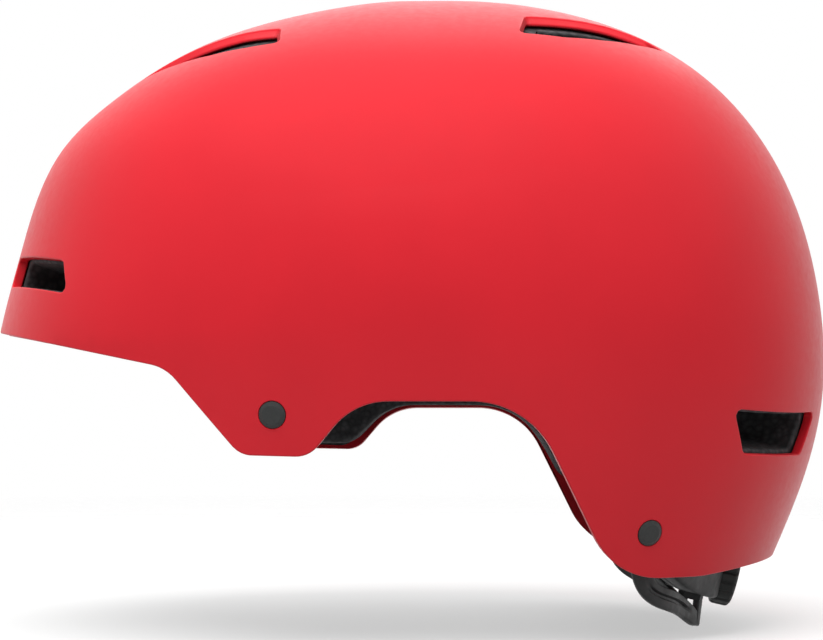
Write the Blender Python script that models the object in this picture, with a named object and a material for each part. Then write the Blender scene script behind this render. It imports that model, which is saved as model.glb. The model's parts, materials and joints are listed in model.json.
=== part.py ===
"""Hard-shell water helmet with foam liner, comfort pads and a rear dial cradle.

Metres. +X is the wearer's front, +Y the wearer's left, +Z up.
The origin is on the middle plane, half way along, at the top of the ear cut.
Dimensions below are in millimetres.
"""
import math

import bmesh
import bpy
import numpy as np
from mathutils import Vector

MM = 0.001

# Outer form of the shell
CENTRE = np.array([0.0, 0.0, 25.0])
PROFILE = [(139, 18), (131.5, 48.5), (124.5, 71.5), (117.5, 84.5), (103.5, 98.5), (76, 117),
           (39.5, 129.5), (-10, 136.5), (-57, 130.5), (-97, 111.5), (-125, 77), (-137.5, 35),
           (-138.5, 3), (-132, -25), (-121.5, -51), (-108, -80)]
SECTION = [(0, 136.5), (46, 126.5), (82, 100), (102, 63.5), (108, 28), (106, 0), (102, -25),
           (95, -55), (85, -85)]
SQUARENESS = 2.25
FORM_AROUND, FORM_DOWN = 42, 22

# Wall thicknesses and clearances
SHELL_WALL = 3.0
LINER_GAP = 0.4
FIT = 0.3
PAD_GAP = 0.9

# Head space inside the liner
CAVITY_PROFILE = [(104, -20), (105.5, 0), (104.5, 25), (98, 60), (80, 88), (45, 104), (0, 109.5),
                  (-45, 105.5), (-82, 88), (-102, 58), (-108, 25), (-107.5, 0), (-104, -35), (-98, -70)]
CAVITY_SECTION = [(0, 109.5), (40, 101), (68, 76), (81.5, 40), (84, 10), (83.5, -20), (81, -60)]

# Lower edges, seen from the side: x, z, corner radius
SHELL_RIM = [(160, 28.7, 0), (69.4, 10.15, 14), (47, -15.7, 8), (26.3, -16.2, 8.5), (12.7, 0.1, 21),
             (-37.9, 0.1, 27), (-64.4, -53.3, 23), (-92, -53.6, 40), (-160, -45.2, 0)]
LINER_RIM = [(160, 31.0, 0), (68.7, 12.3, 13), (46.2, -13.5, 7), (27.2, -13.9, 7), (13.6, 2.4, 22),
             (-39.3, 2.3, 28), (-53.3, -26, 6), (-160, -26, 0)]

# Openings in the left half, mirrored to the right; plan positions for the top ones
FRONT_SLOT = [(40, 52.5), (52, 45), (66, 37.8), (84, 31), (86.5, 35.5), (74, 47.5), (62, 55.5),
              (50, 60.5), (39, 63.5)]
REAR_SLOT = [(-37.5, 48.5), (-50, 43), (-65, 34.5), (-77, 29.5), (-83, 33.5), (-74, 44.5),
             (-62, 53.5), (-50, 59.3), (-35.5, 62)]
BROW_VENT = [(104.8, 71.9, 43.9), (102.7, 76.6, 33.4), (129.3, 35.5, 38.2), (126.9, 35, 47.6)]
NAPE_VENT = [(-101, 78.2, -1.8), (-104.5, 72, -15.6), (-126, 43.6, -16.1), (-131.4, 38.4, -2.4)]
VENT_CORNER = 1.9
LINER_VENT_SCALE = 0.84

# Rivets: position on the outer face of the left half
FRONT_RIVET = (37.0, -3.8)
REAR_RIVET = (-74.8, -39.3)
RIVET_HEAD_R, RIVET_HEAD_T, RIVET_SINK = 4.0, 1.5, 0.8
RIVET_SHANK_R = 2.0
WASHER_R, WASHER_T = 7.0, 1.4

# Rear cradle: leans back by CRADLE_LEAN, its bands on a cylinder of BAND_R behind the head
CRADLE_LEAN = math.radians(13.0)
POD_CENTRE = np.array([-99.0, 0.0, -54.5])
BAND_R = 85.0
BAND_T = 2.6
BAND_SLACK = 0.9
COVER_FACE = 1.4
COVER_WALL = 1.4
COVER_BELLY, BELLY_END = 3.0, 34.0
PLATE_T = 2.5
POD_HALF_ANGLE = math.radians(40.0)
POD_HALF_HEIGHT, POD_LIFT = 11.2, 1.4
BAND_IN = BAND_R - 0.4 * BAND_T
BAND_OUT = BAND_IN + BAND_T
COVER_IN = BAND_IN - BAND_SLACK
COVER_ROOF = BAND_OUT + BAND_SLACK
COVER_OUT = COVER_ROOF + COVER_FACE
PLATE_OUT = COVER_IN - FIT
PLATE_IN = PLATE_OUT - PLATE_T
PLATE_MID = (PLATE_IN + PLATE_OUT) / 2
POD_REACH = BAND_R * POD_HALF_ANGLE
POD_END = 0.985

# Rack and pinion, and the travel that they give the bands
MODULE, TEETH = 0.8, 10
PITCH_R = MODULE * TEETH / 2
RACK_PITCH = math.pi * MODULE
TOOTH_HALF = 0.625 * MODULE
FLANK = math.tan(math.radians(20.0))
ADDENDUM, DEDENDUM = 0.9 * MODULE, 1.19 * MODULE
DIAL_TURN = math.radians(150.0)
TRAVEL = PITCH_R * DIAL_TURN
RACK_BACK = 2.2
RACK_TAIL = 4.2
RACK_END = RACK_TAIL + TRAVEL + 4.3
BAND_HALF = 3.1
WING_HALF, WING_RISE, WING_LENGTH = 3.6, 2.0, 7.5
WING_FROM = POD_REACH * POD_END + TRAVEL + 0.6
WING_TO = WING_FROM + WING_LENGTH

# Dial
DIAL_R, DIAL_T, DIAL_GAP = 12.0, 6.7, 1.2
DISH_GAP = 0.7
DIAL_NEAR = COVER_OUT - BAND_R + DIAL_GAP
DIAL_FAR = DIAL_NEAR + DIAL_T
DIAL_FLUTES = 20
SHAFT_R, STUB_R, RUNNING_GAP = 2.6, 1.75, 0.1

# Lower arms of the cradle: where each strut leaves the pod, and the bends from lug to strut foot
STRUT_AT, STRUT_HALF, STRUT_DROP = 24.5, 2.5, 9.2
ARM_BENDS = [(0.11, 0.08, 0.366), (0.44, 0.306, 0.579), (0.768, 0.717, 0.851), (0.95, 0.92, 0.975), (1, 1, 1)]
ARM_WIDTHS = [7.0, 6.8, 6.6, 7.0, 6.4, 5.6, 4.6]
ARM_T, STRUT_T = 2.4, 2.3

# Pivot of the cradle behind the rear rivets
PIVOT_PIN_R, PIVOT_BOSS_R, LUG_R = 2.6, 6.2, 6.2
LUG_T, LUG_GAP, CAP_T, CAP_R, WING_CLEAR = 2.4, 0.4, 1.6, 4.6, 0.6
LUG_IN_Y = BAND_OUT * math.sin(WING_TO / BAND_R) + WING_CLEAR
LUG_OUT_Y = LUG_IN_Y + LUG_T
PIVOT_BOSS_Y = LUG_OUT_Y + LUG_GAP
CAP_OUT_Y = LUG_IN_Y - LUG_GAP
CAP_IN_Y = CAP_OUT_Y - CAP_T

for old in list(bpy.data.objects):
    bpy.data.objects.remove(old)

PARTS = bpy.data.collections.new("Parts")
CUTTERS = bpy.data.collections.new("Cutters")
bpy.context.scene.collection.children.link(PARTS)
bpy.context.scene.collection.children.link(CUTTERS)


# Materials, one for each substance
def paint(name, colour, rough, metal=0.0):
    m = bpy.data.materials.new(name)
    m.use_nodes = True
    b = m.node_tree.nodes["Principled BSDF"]
    b.inputs["Base Color"].default_value = (*colour, 1.0)
    b.inputs["Roughness"].default_value = rough
    b.inputs["Metallic"].default_value = metal
    m.diffuse_color = (*colour, 1.0)
    return m


RED = paint("red_abs", (0.62, 0.025, 0.035), 0.38)
FOAM = paint("black_foam", (0.012, 0.012, 0.013), 0.9)
FABRIC = paint("pad_fabric", (0.02, 0.02, 0.022), 0.95)
NYLON = paint("dark_nylon", (0.035, 0.036, 0.037), 0.55)
GREY = paint("grey_plastic", (0.045, 0.046, 0.048), 0.45)
STEEL = paint("steel", (0.5, 0.5, 0.5), 0.35, 1.0)


# Meshes
def solid(name, points, faces, material, smooth=True):
    mesh = bpy.data.meshes.new(name)
    mesh.from_pydata([tuple(float(c) * MM for c in p) for p in points], [], faces)
    b = bmesh.new()
    b.from_mesh(mesh)
    bmesh.ops.recalc_face_normals(b, faces=b.faces)
    bmesh.ops.triangulate(b, faces=[f for f in b.faces if len(f.verts) == 4])
    if b.calc_volume(signed=True) < 0:
        bmesh.ops.reverse_faces(b, faces=b.faces)
    b.to_mesh(mesh)
    b.free()
    mesh.materials.append(material)
    obj = bpy.data.objects.new(name, mesh)
    PARTS.objects.link(obj)
    if smooth:
        mesh.shade_smooth()
        mesh.set_sharp_from_angle(angle=math.radians(32))
    return obj


def as_cutter(obj):
    PARTS.objects.unlink(obj)
    CUTTERS.objects.link(obj)
    obj.hide_render = True
    obj.display_type = "WIRE"
    return obj


def combine(target, operation, *tools, solver="EXACT"):
    for tool in tools:
        if tool.name not in CUTTERS.objects:
            as_cutter(tool)
        m = target.modifiers.new(operation.lower(), "BOOLEAN")
        m.object, m.operation, m.solver = tool, operation, solver
    return target


def cut(target, *tools, solver="EXACT"):
    return combine(target, "DIFFERENCE", *tools, solver=solver)


def add(target, *tools, solver="EXACT"):
    return combine(target, "UNION", *tools, solver=solver)


def unit(v):
    v = np.array(v, dtype=float)
    return v / np.linalg.norm(v)


# Smooth curve through points
def spline(xs, ys):
    xs, ys = np.array(xs, float), np.array(ys, float)
    n, h = len(xs), np.diff(xs)
    a, b = np.zeros((n, n)), np.zeros(n)
    a[0, 0] = a[-1, -1] = 1.0
    for i in range(1, n - 1):
        a[i, i - 1:i + 2] = h[i - 1], 2 * (h[i - 1] + h[i]), h[i]
        b[i] = 6 * ((ys[i + 1] - ys[i]) / h[i] - (ys[i] - ys[i - 1]) / h[i - 1])
    m = np.linalg.solve(a, b)

    def value(x):
        x = np.clip(x, xs[0], xs[-1])
        i = np.clip(np.searchsorted(xs, x) - 1, 0, n - 2)
        d, r = x - xs[i], xs[i + 1] - x
        return (m[i] * r ** 3 + m[i + 1] * d ** 3) / (6 * h[i]) \
            + (ys[i] / h[i] - m[i] * h[i] / 6) * r + (ys[i + 1] / h[i] - m[i + 1] * h[i] / 6) * d
    return value


def polar(points):
    return sorted((math.atan2(a, b - CENTRE[2]), math.hypot(a, b - CENTRE[2])) for a, b in points)


# Radius of a helmet form in a direction, from its middle profile and its cross-section
def head_form(profile, section):
    mid = spline(*zip(*polar(profile)))
    side = spline(*zip(*polar([(-y, z) for y, z in section[1:]] + list(section))))

    def radius(d):
        tilt = np.arccos(np.clip(d[..., 2], -1, 1))
        turn = np.arctan2(d[..., 1], d[..., 0])
        c, s = np.cos(turn), np.sin(turn)
        n = 2 + (SQUARENESS - 2) * np.sin(np.minimum(tilt, math.pi / 2)) ** 2
        long = np.abs(c) / mid(np.where(c >= 0, tilt, -tilt))
        wide = np.abs(s) / side(tilt)
        return (long ** n + wide ** n) ** (-1 / n)
    return radius


OUTSIDE = head_form(PROFILE, SECTION)
HEADSPACE = head_form(CAVITY_PROFILE, CAVITY_SECTION)


def on_form(radius, directions, inset=0.0):
    d = np.array(directions, float)
    d = d / np.linalg.norm(d, axis=-1, keepdims=True)
    point = CENTRE + d * radius(d)[..., None]
    return point if inset == 0 else point - normal_at(radius, d) * inset


def normal_at(radius, d):
    step = 1e-3
    e1 = np.cross(d, np.where(np.abs(d[..., 2:3]) < 0.9, [0.0, 0.0, 1.0], [1.0, 0.0, 0.0]))
    e1 = e1 / np.linalg.norm(e1, axis=-1, keepdims=True)
    e2 = np.cross(d, e1)
    n = np.cross(on_form(radius, d + e1 * step) - on_form(radius, d - e1 * step),
                 on_form(radius, d + e2 * step) - on_form(radius, d - e2 * step))
    n = n / np.linalg.norm(n, axis=-1, keepdims=True)
    return n * np.sign((n * d).sum(-1, keepdims=True))


# Closed body of a helmet form, inset along its normals
def form_body(name, radius, inset, material):
    rows = [[(0.0, 0.0, 1.0)]]
    for i in range(1, FORM_DOWN):
        tilt = math.pi * i / FORM_DOWN
        rows.append([(math.sin(tilt) * math.cos(2 * math.pi * j / FORM_AROUND),
                      math.sin(tilt) * math.sin(2 * math.pi * j / FORM_AROUND), math.cos(tilt))
                     for j in range(FORM_AROUND)])
    rows.append([(0.0, 0.0, -1.0)])
    points = on_form(radius, [d for row in rows for d in row], inset)
    faces, n = [], FORM_AROUND
    last = 1 + (FORM_DOWN - 1) * n
    for j in range(n):
        k = (j + 1) % n
        faces.append((0, 1 + j, 1 + k))
        for i in range(FORM_DOWN - 2):
            a = 1 + i * n
            faces.append((a + j, a + n + j, a + n + k, a + k))
        faces.append((last, last - n + k, last - n + j))
    return solid(name, points, faces, material)


# Point of the outer form above a plan position, or beside a side position
def above(x, y):
    lo, hi = 30.0, 200.0
    for _ in range(40):
        z = (lo + hi) / 2
        v = np.array([x, y, z]) - CENTRE
        r = np.linalg.norm(v)
        lo, hi = (z, hi) if r < OUTSIDE(v / r) else (lo, z)
    return np.array([x, y, lo])


def beside(x, z):
    lo, hi = 0.0, 200.0
    for _ in range(40):
        y = (lo + hi) / 2
        v = np.array([x, y, z]) - CENTRE
        r = np.linalg.norm(v)
        lo, hi = (y, hi) if r < OUTSIDE(v / r) else (lo, y)
    point = np.array([x, lo, z])
    return point, normal_at(OUTSIDE, unit(point - CENTRE))


# Outline with rounded corners: x, y, radius
def rounded(corners, steps=4):
    out, n = [], len(corners)
    for i, (x, y, r) in enumerate(corners):
        p = np.array([x, y], float)
        if r <= 0:
            out.append(p)
            continue
        a = unit(np.array(corners[i - 1][:2], float) - p)
        b = unit(np.array(corners[(i + 1) % n][:2], float) - p)
        half = math.acos(max(-1.0, min(1.0, float(a @ b)))) / 2
        if half > math.radians(89):
            out.append(p)
            continue
        middle = p + unit(a + b) * r / math.sin(half)
        start, end = p + a * r / math.tan(half) - middle, p + b * r / math.tan(half) - middle
        t0 = math.atan2(start[1], start[0])
        turn = (math.atan2(end[1], end[0]) - t0 + math.pi) % (2 * math.pi) - math.pi
        out += [middle + r * np.array([math.cos(t0 + turn * k / steps), math.sin(t0 + turn * k / steps)])
                for k in range(steps + 1)]
    return out


# Straight prism on an outline in the plane of two axes
def prism(name, outline, origin, ax, ay, near, far, material):
    origin, ax, ay = np.array(origin, float), np.array(ax, float), np.array(ay, float)
    az = np.cross(ax, ay)
    n = len(outline)
    points = [origin + ax * p[0] + ay * p[1] + az * d for d in (near, far) for p in outline]
    faces = [tuple(range(n))[::-1], tuple(range(n, 2 * n))]
    faces += [(i, (i + 1) % n, n + (i + 1) % n, n + i) for i in range(n)]
    return solid(name, points, faces, material)


def side_prism(name, corners, material):
    return prism(name, rounded(corners), (0, 0, 0), (1, 0, 0), (0, 0, 1), -150, 150, material)


# Opening through the wall, square to the surface in its middle
def opening(name, points, scale, side, reach):
    points = np.array(points, float) * np.array([1, side, 1])
    middle = points.mean(0)
    n = normal_at(OUTSIDE, unit(middle - CENTRE))
    ax = unit(np.cross((0, 0, 1), n))
    ay = np.cross(n, ax)
    flat = [((p - middle) @ ax, (p - middle) @ ay) for p in points]
    outline = rounded([(x * scale, y * scale, VENT_CORNER * scale ** 3) for x, y in flat], 3)
    return as_cutter(prism(name, outline, middle, ax, ay, -reach, 14, RED))


# Body turned about an axis from a profile of radius and distance along it
def turned(name, profile, origin, axis, material, segments=32, closed=True, shape=None):
    origin, axis = np.array(origin, float), unit(axis)
    u = unit(np.cross(axis, (0, 0, 1) if abs(axis[2]) < 0.9 else (1, 0, 0)))
    v = np.cross(axis, u)
    points, faces, rings = [], [], []
    for r, t in profile:
        if r == 0:
            rings.append([len(points)])
            points.append(origin + axis * t)
            continue
        rings.append(list(range(len(points), len(points) + segments)))
        for k in range(segments):
            a = 2 * math.pi * k / segments
            rr = shape(r, a) if shape else r
            points.append(origin + axis * t + (u * math.cos(a) + v * math.sin(a)) * rr)
    pairs = list(zip(rings, rings[1:])) + ([(rings[-1], rings[0])] if closed else [])
    for a, b in pairs:
        for k in range(segments):
            j = (k + 1) % segments
            if len(a) == 1 and len(b) > 1:
                faces.append((a[0], b[k], b[j]))
            elif len(b) == 1 and len(a) > 1:
                faces.append((a[k], b[0], a[j]))
            elif len(a) > 1:
                faces.append((a[k], b[k], b[j], a[j]))
    return solid(name, points, faces, material)


def pin(name, r, start, end, origin, axis, material, segments=24):
    return turned(name, [(0, start), (r, start), (r, end), (0, end)], origin, axis, material, segments, False)


# Cradle coordinates: f forward, y left, h up the leaning back; bands wrap the cradle axis
E_F = np.array([math.cos(CRADLE_LEAN), 0.0, math.sin(CRADLE_LEAN)])
E_H = np.array([-math.sin(CRADLE_LEAN), 0.0, math.cos(CRADLE_LEAN)])
E_Y = np.array([0.0, 1.0, 0.0])
CRADLE_AXIS = POD_CENTRE + BAND_R * E_F


def wrap(s, r, h):
    a = s / BAND_R
    return CRADLE_AXIS + r * (-math.cos(a) * E_F + math.sin(a) * E_Y) + h * E_H


# Body wrapped round the cradle axis: stations of arc position and a ring of radius and height
def wrapped(name, stations, material):
    n = len(stations[0][1])
    points = [wrap(s, r, h) for s, ring in stations for r, h in ring]
    faces = [tuple(range(n)), tuple(range((len(stations) - 1) * n, len(stations) * n))[::-1]]
    for i in range(len(stations) - 1):
        for k in range(n):
            j = (k + 1) % n
            faces.append((i * n + k, (i + 1) * n + k, (i + 1) * n + j, i * n + j))
    return solid(name, points, faces, material)


def box_ring(r0, r1, h0, h1):
    return [(r0, h0), (r1, h0), (r1, h1), (r0, h1)]


def pod_height(s):
    t = abs(s / BAND_R) / POD_HALF_ANGLE
    return POD_HALF_HEIGHT * math.sqrt(max(0.0, 1 - t ** 2.2))


# Lens-shaped pod layer
def lens(name, r0, r1, inset, edge, material, belly=0.0, steps=18):
    reach = POD_REACH * POD_END
    stations = []
    for i in range(steps + 1):
        s = -reach * math.cos(math.pi * i / steps)
        h = pod_height(s) - inset
        if h < 0.9:
            continue
        e = min(edge, h * 0.6)
        t = min(1.0, max(0.0, (BELLY_END - abs(s)) / (BELLY_END - DIAL_R)))
        top = r1 + belly * t * t * (3 - 2 * t)
        ring = [(r0, -h), (top - e, -h), (top, -h + e), (top, h - e), (top - e, h), (r0, h)]
        stations.append((s, [(r, v + POD_LIFT) for r, v in ring]))
    return wrapped(name, stations, material)


# Strap swept along points: width along the strap's face, thickness along the outward direction
def strap(name, path, widths, thick, material, side_on=0):
    path = [np.array(p, float) for p in path]
    points, faces = [], []
    for i, (p, w) in enumerate(zip(path, widths)):
        t = unit(path[min(i + 1, len(path) - 1)] - path[max(i - 1, 0)])
        n = unit((p - np.array([-20.0, 0.0, p[2]])) * (1, 1, 0))
        if i < side_on:
            n = unit(n * i + np.array([0.0, math.copysign(1.0, p[1]), 0.0]) * (side_on - i))
        across = unit(np.cross(n, t))
        n = np.cross(t, across)
        c = thick * 0.3
        for a, b in ((-w + c, -thick), (w - c, -thick), (w, -thick + c), (w, thick - c),
                     (w - c, thick), (-w + c, thick), (-w, thick - c), (-w, -thick + c)):
            points.append(p + across * a / 2 + n * b / 2)
    m = 8
    for i in range(len(path) - 1):
        for k in range(m):
            j = (k + 1) % m
            faces.append((i * m + k, i * m + j, (i + 1) * m + j, (i + 1) * m + k))
    faces += [tuple(range(m))[::-1], tuple(range((len(path) - 1) * m, len(path) * m))]
    return solid(name, points, faces, material)


def smooth_path(knots, steps):
    t = np.cumsum([0.0] + [np.linalg.norm(np.subtract(b, a)) for a, b in zip(knots, knots[1:])])
    curves = [spline(t, [k[i] for k in knots]) for i in range(len(knots[0]))]
    return [[float(c(x)) for c in curves] for x in np.linspace(0, t[-1], steps)]


# Pillow-shaped pad lying on the head side of the liner
def pad(name, middle, length_dir, half_long, half_wide, thick, long_steps=14, wide_steps=6):
    d0 = unit(middle)
    e1 = unit(np.array(length_dir, float) - d0 * (np.array(length_dir, float) @ d0))
    e2 = np.cross(d0, e1)
    back, front = [], []
    for i in range(long_steps + 1):
        a = -math.cos(math.pi * i / long_steps)
        end = (1 - abs(a) ** 5) ** 0.2 if abs(a) < 1 else 0.0
        width = half_wide * (0.45 + 0.55 * end)
        for k in range(wide_steps + 1):
            b = -math.cos(math.pi * k / wide_steps)
            d = unit(d0 + e1 * math.tan(a * half_long) + e2 * b * width / math.cos(a * half_long))
            r = float(HEADSPACE(d))
            puff = ((1 - abs(a) ** 8) * (1 - abs(b) ** 4)) ** 0.5
            back.append(CENTRE + d * (r - PAD_GAP))
            front.append(CENTRE + d * (r - PAD_GAP - 1.4 - (thick - 1.4) * puff))
    w, count = wide_steps + 1, len(back)
    faces = []
    for i in range(long_steps):
        for k in range(wide_steps):
            q = (i * w + k, (i + 1) * w + k, (i + 1) * w + k + 1, i * w + k + 1)
            faces += [q, tuple(count + v for v in q[::-1])]
    edge = [k for k in range(w)] + [i * w + w - 1 for i in range(1, long_steps + 1)] \
        + [long_steps * w + k for k in range(w - 2, -1, -1)] + [i * w for i in range(long_steps - 1, 0, -1)]
    for a, b in zip(edge, edge[1:] + edge[:1]):
        faces.append((a, b, count + b, count + a))
    return solid(name, back + front, faces, FABRIC)


SIDES = (("left", 1), ("right", -1))


def mirrored(p, side):
    return np.array(p, float) * np.array([1, side, 1])


# Outer shell
shell = form_body("outer_shell", OUTSIDE, 0.0, RED)
shell_rim = side_prism("shell_rim_cut", SHELL_RIM + [(-160, -160, 0), (160, -160, 0)], RED)
cut(shell, form_body("shell_inside_cut", OUTSIDE, SHELL_WALL, RED), shell_rim)

# Foam liner, one moulding between the shell and the head space
liner = form_body("foam_liner", OUTSIDE, SHELL_WALL + LINER_GAP, FOAM)
liner_rim = side_prism("liner_rim_cut", LINER_RIM + [(-160, -160, 0), (160, -160, 0)], FOAM)
cut(liner, form_body("head_space_cut", HEADSPACE, 0.0, FOAM), liner_rim)

# Ventilation openings, narrower in the foam
for word, side in SIDES:
    for label, points in (("front_slot", [above(x, y) for x, y in FRONT_SLOT]),
                          ("rear_slot", [above(x, y) for x, y in REAR_SLOT]),
                          ("brow_vent", BROW_VENT), ("nape_vent", NAPE_VENT)):
        cut(shell, opening(f"{word}_{label}_cut", points, 1.0, side, 16))
        cut(liner, opening(f"{word}_{label}_foam_cut", points, LINER_VENT_SCALE, side, 55))

# Rivets, their washers and the cradle pivots
for word, side in SIDES:
    for end, spot in (("front", FRONT_RIVET), ("rear", REAR_RIVET)):
        point, n = beside(*spot)
        point, n = mirrored(point, side), mirrored(n, side)
        seat = point - n * RIVET_SINK
        depth = SHELL_WALL + (4.0 if end == "front" else 5.5)
        head = [(0, RIVET_HEAD_T), (RIVET_HEAD_R - 1.2, RIVET_HEAD_T), (RIVET_HEAD_R, RIVET_HEAD_T - 0.7),
                (RIVET_HEAD_R, 0.0), (RIVET_SHANK_R, 0.0), (RIVET_SHANK_R, -depth), (0, -depth)]
        turned(f"{word}_{end}_rivet", head, seat, n, GREY, 20, False)
        cut(shell, turned(f"{word}_{end}_seat_cut",
                          [(0, 6), (RIVET_HEAD_R + FIT, 6), (RIVET_HEAD_R + FIT, -0.1),
                           (RIVET_SHANK_R + FIT, -0.1), (RIVET_SHANK_R + FIT, -8), (0, -8)], seat, n, RED,
                           20, False))
        if end == "front":
            back = seat - n * (SHELL_WALL - RIVET_SINK + 0.45)
            turned(f"{word}_front_washer",
                   [(RIVET_SHANK_R + 0.15, 0), (WASHER_R, 0), (WASHER_R, -WASHER_T + 0.4),
                    (WASHER_R - 0.4, -WASHER_T), (RIVET_SHANK_R + 0.15, -WASHER_T)], back, n, STEEL, 20)
            up = unit(np.array([0, 0, 1]) - n * n[2])
            channel = rounded([(-9, -30, 0), (9, -30, 0), (9, 9, 8), (-9, 9, 8)], 6)
            cut(liner, prism(f"{word}_strap_channel_cut", channel, back, np.cross(up, n), up, -7.0, 8, FOAM))
        else:
            centre = np.array([spot[0] + 2.4, 0.0, spot[1] + 1.4])
            out = np.array([0.0, side, 0.0])
            boss = pin(f"{word}_cradle_pivot", PIVOT_BOSS_R, PIVOT_BOSS_Y, PIVOT_BOSS_Y + 30, centre, out,
                       NYLON, 20)
            inner = form_body(f"{word}_pivot_face", OUTSIDE, SHELL_WALL + LINER_GAP, NYLON)
            combine(boss, "INTERSECT", inner)
            add(boss, pin(f"{word}_pivot_pin", PIVOT_PIN_R, CAP_OUT_Y, PIVOT_BOSS_Y + 3, centre, out, NYLON))
            cut(boss, pin(f"{word}_pivot_hole_cut", RIVET_SHANK_R + 0.15, -depth - 0.5, 3, seat, n, NYLON))
            turned(f"{word}_pivot_cap",
                   [(0, CAP_OUT_Y - 0.2), (CAP_R, CAP_OUT_Y - 0.2), (CAP_R, CAP_IN_Y + 0.5), (CAP_R - 0.5,
                           CAP_IN_Y),
                    (0, CAP_IN_Y)], centre, out, GREY, 20, False)

# Cradle frame: pod plate, struts, lower arms and pivot lugs in one moulding
frame = lens("cradle_frame", PLATE_IN, PLATE_OUT, 0.0, 0.6, NYLON)
lug_x, lug_z = REAR_RIVET[0] + 2.4, REAR_RIVET[1] + 1.4
lug_y = (LUG_IN_Y + LUG_OUT_Y) / 2
pod_edge = pod_height(STRUT_AT - STRUT_HALF) - POD_LIFT
for word, side in SIDES:
    out = np.array([0.0, side, 0.0])
    centre = np.array([lug_x, 0.0, lug_z])
    start = np.array([lug_x - 0.4, lug_y - 0.5, lug_z - 10.1])
    foot = wrap(STRUT_AT + 0.7, PLATE_MID + 6.0, -pod_edge - 0.85 * STRUT_DROP)
    knots = [np.array([lug_x, lug_y, lug_z - 0.74 * LUG_R]), start]
    knots += [start + (foot - start) * np.array(bend) for bend in ARM_BENDS]
    path = smooth_path([(*k, w) for k, w in zip(knots, ARM_WIDTHS)], 13)
    arm = strap(f"{word}_cradle_arm", [mirrored(p[:3], side) for p in path], [p[3] for p in path], ARM_T,
                NYLON, 5)
    strut = strap(f"{word}_cradle_strut", [mirrored(p, side) for p in (
        wrap(STRUT_AT + 0.7, PLATE_MID + 6.5, -pod_edge - STRUT_DROP),
        wrap(STRUT_AT, COVER_OUT - 1.8, -pod_edge - 1.6))], [4.6, 2 * STRUT_HALF], STRUT_T, NYLON)
    roots = []
    for label, reach, rise, trim in (("tab", PLATE_OUT - 0.25, 3.0, 0.2), ("ledge", COVER_OUT - 0.7,
            -0.15, 0.0)):
        stations = []
        for a in (-1, 0, 1):
            at = STRUT_AT + a * (STRUT_HALF - trim)
            low, edge = -pod_edge - 2.9 + trim, POD_LIFT - pod_height(at)
            stations.append((side * at, box_ring(PLATE_IN + 0.3 + trim, reach, low, edge + rise)))
        roots.append(wrapped(f"{word}_strut_{label}", stations, NYLON))
    lug = pin(f"{word}_cradle_lug", LUG_R, LUG_IN_Y, LUG_OUT_Y, centre, out, NYLON, 20)
    add(frame, roots[0], roots[1], strut, arm, lug)
    cut(frame, pin(f"{word}_lug_hole_cut", PIVOT_PIN_R + RUNNING_GAP, LUG_IN_Y - 4, LUG_OUT_Y + 4, centre,
                   out, NYLON))

# Dial cover with its two band slots
cover = lens("dial_cover", COVER_IN, COVER_OUT, 0.0, 0.9 * COVER_FACE, NYLON, COVER_BELLY)
cut(cover, pin("cover_dish_cut", DIAL_R + DISH_GAP, COVER_OUT - BAND_R, COVER_OUT - BAND_R + 20, POD_CENTRE,
               -E_F, NYLON, 48), solver="MANIFOLD")
cut(cover, lens("cover_inside_cut", COVER_IN - 2, COVER_ROOF, COVER_WALL, 0.4, NYLON), solver="MANIFOLD")
for word, side in SIDES:
    slot = [(side * POD_REACH * a, box_ring(BAND_IN - 0.4, BAND_OUT + 0.4, -BAND_HALF - 0.6, BAND_HALF + 0.6))
            for a in (0.6, 0.7, 0.8, 0.9, 1.0, 1.1)]
    cut(cover, wrapped(f"{word}_band_slot_cut", slot, NYLON), solver="MANIFOLD")
cut(cover, pin("cover_shaft_cut", SHAFT_R + RUNNING_GAP, -2, DIAL_FAR, POD_CENTRE, -E_F, NYLON),
    solver="MANIFOLD")
cut(frame, pin("plate_shaft_cut", STUB_R + RUNNING_GAP, PLATE_IN - BAND_R - 6, 0, POD_CENTRE, -E_F, NYLON))

# Housing screws, driven from the head side into posts of the cover
SCREW_AT, SCREW_HIGH = 0.49 * POD_REACH, 0.44 * POD_HALF_HEIGHT
SCREW_HEAD_T, SCREW_HEAD_R, SCREW_R = 0.5 * PLATE_T, 1.9, 0.95
for word, side in SIDES:
    spot, high = side * SCREW_AT, -side * SCREW_HIGH
    base = wrap(spot, PLATE_IN, high)
    axis = unit(wrap(spot, PLATE_OUT, high) - base)
    tip = COVER_ROOF - PLATE_IN - 0.7
    add(cover, pin(f"{word}_screw_post", SCREW_R + 1.15, COVER_IN - PLATE_IN, tip + 1.7, base, axis,
                   NYLON, 16),
        solver="MANIFOLD")
    turned(f"{word}_housing_screw",
           [(0, 0.1), (SCREW_HEAD_R, 0.1), (SCREW_HEAD_R, SCREW_HEAD_T), (SCREW_R, SCREW_HEAD_T),
            (SCREW_R, tip),
            (0, tip + 0.4)], base, axis, STEEL, 20, False)
    cut(frame, turned(f"{word}_screw_hole_cut",
                      [(0, -1), (SCREW_HEAD_R + 0.25, -1), (SCREW_HEAD_R + 0.25, SCREW_HEAD_T + 0.2),
                       (SCREW_R + 0.25, SCREW_HEAD_T + 0.2), (SCREW_R + 0.25, PLATE_T + 1.5), (0,
                               PLATE_T + 1.5)],
                      base, axis, NYLON, 20, False))
    cut(cover, pin(f"{word}_screw_thread_cut", SCREW_R + 0.15, 0.8 * PLATE_T, tip + 0.8, base, axis,
                   NYLON, 12),
        solver="MANIFOLD")

# Headbands with racks: the left one above the pinion, the right one below it
RACK_MID = PITCH_R + DEDENDUM + RACK_BACK / 2
JOG_END = POD_REACH * 0.74


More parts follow.
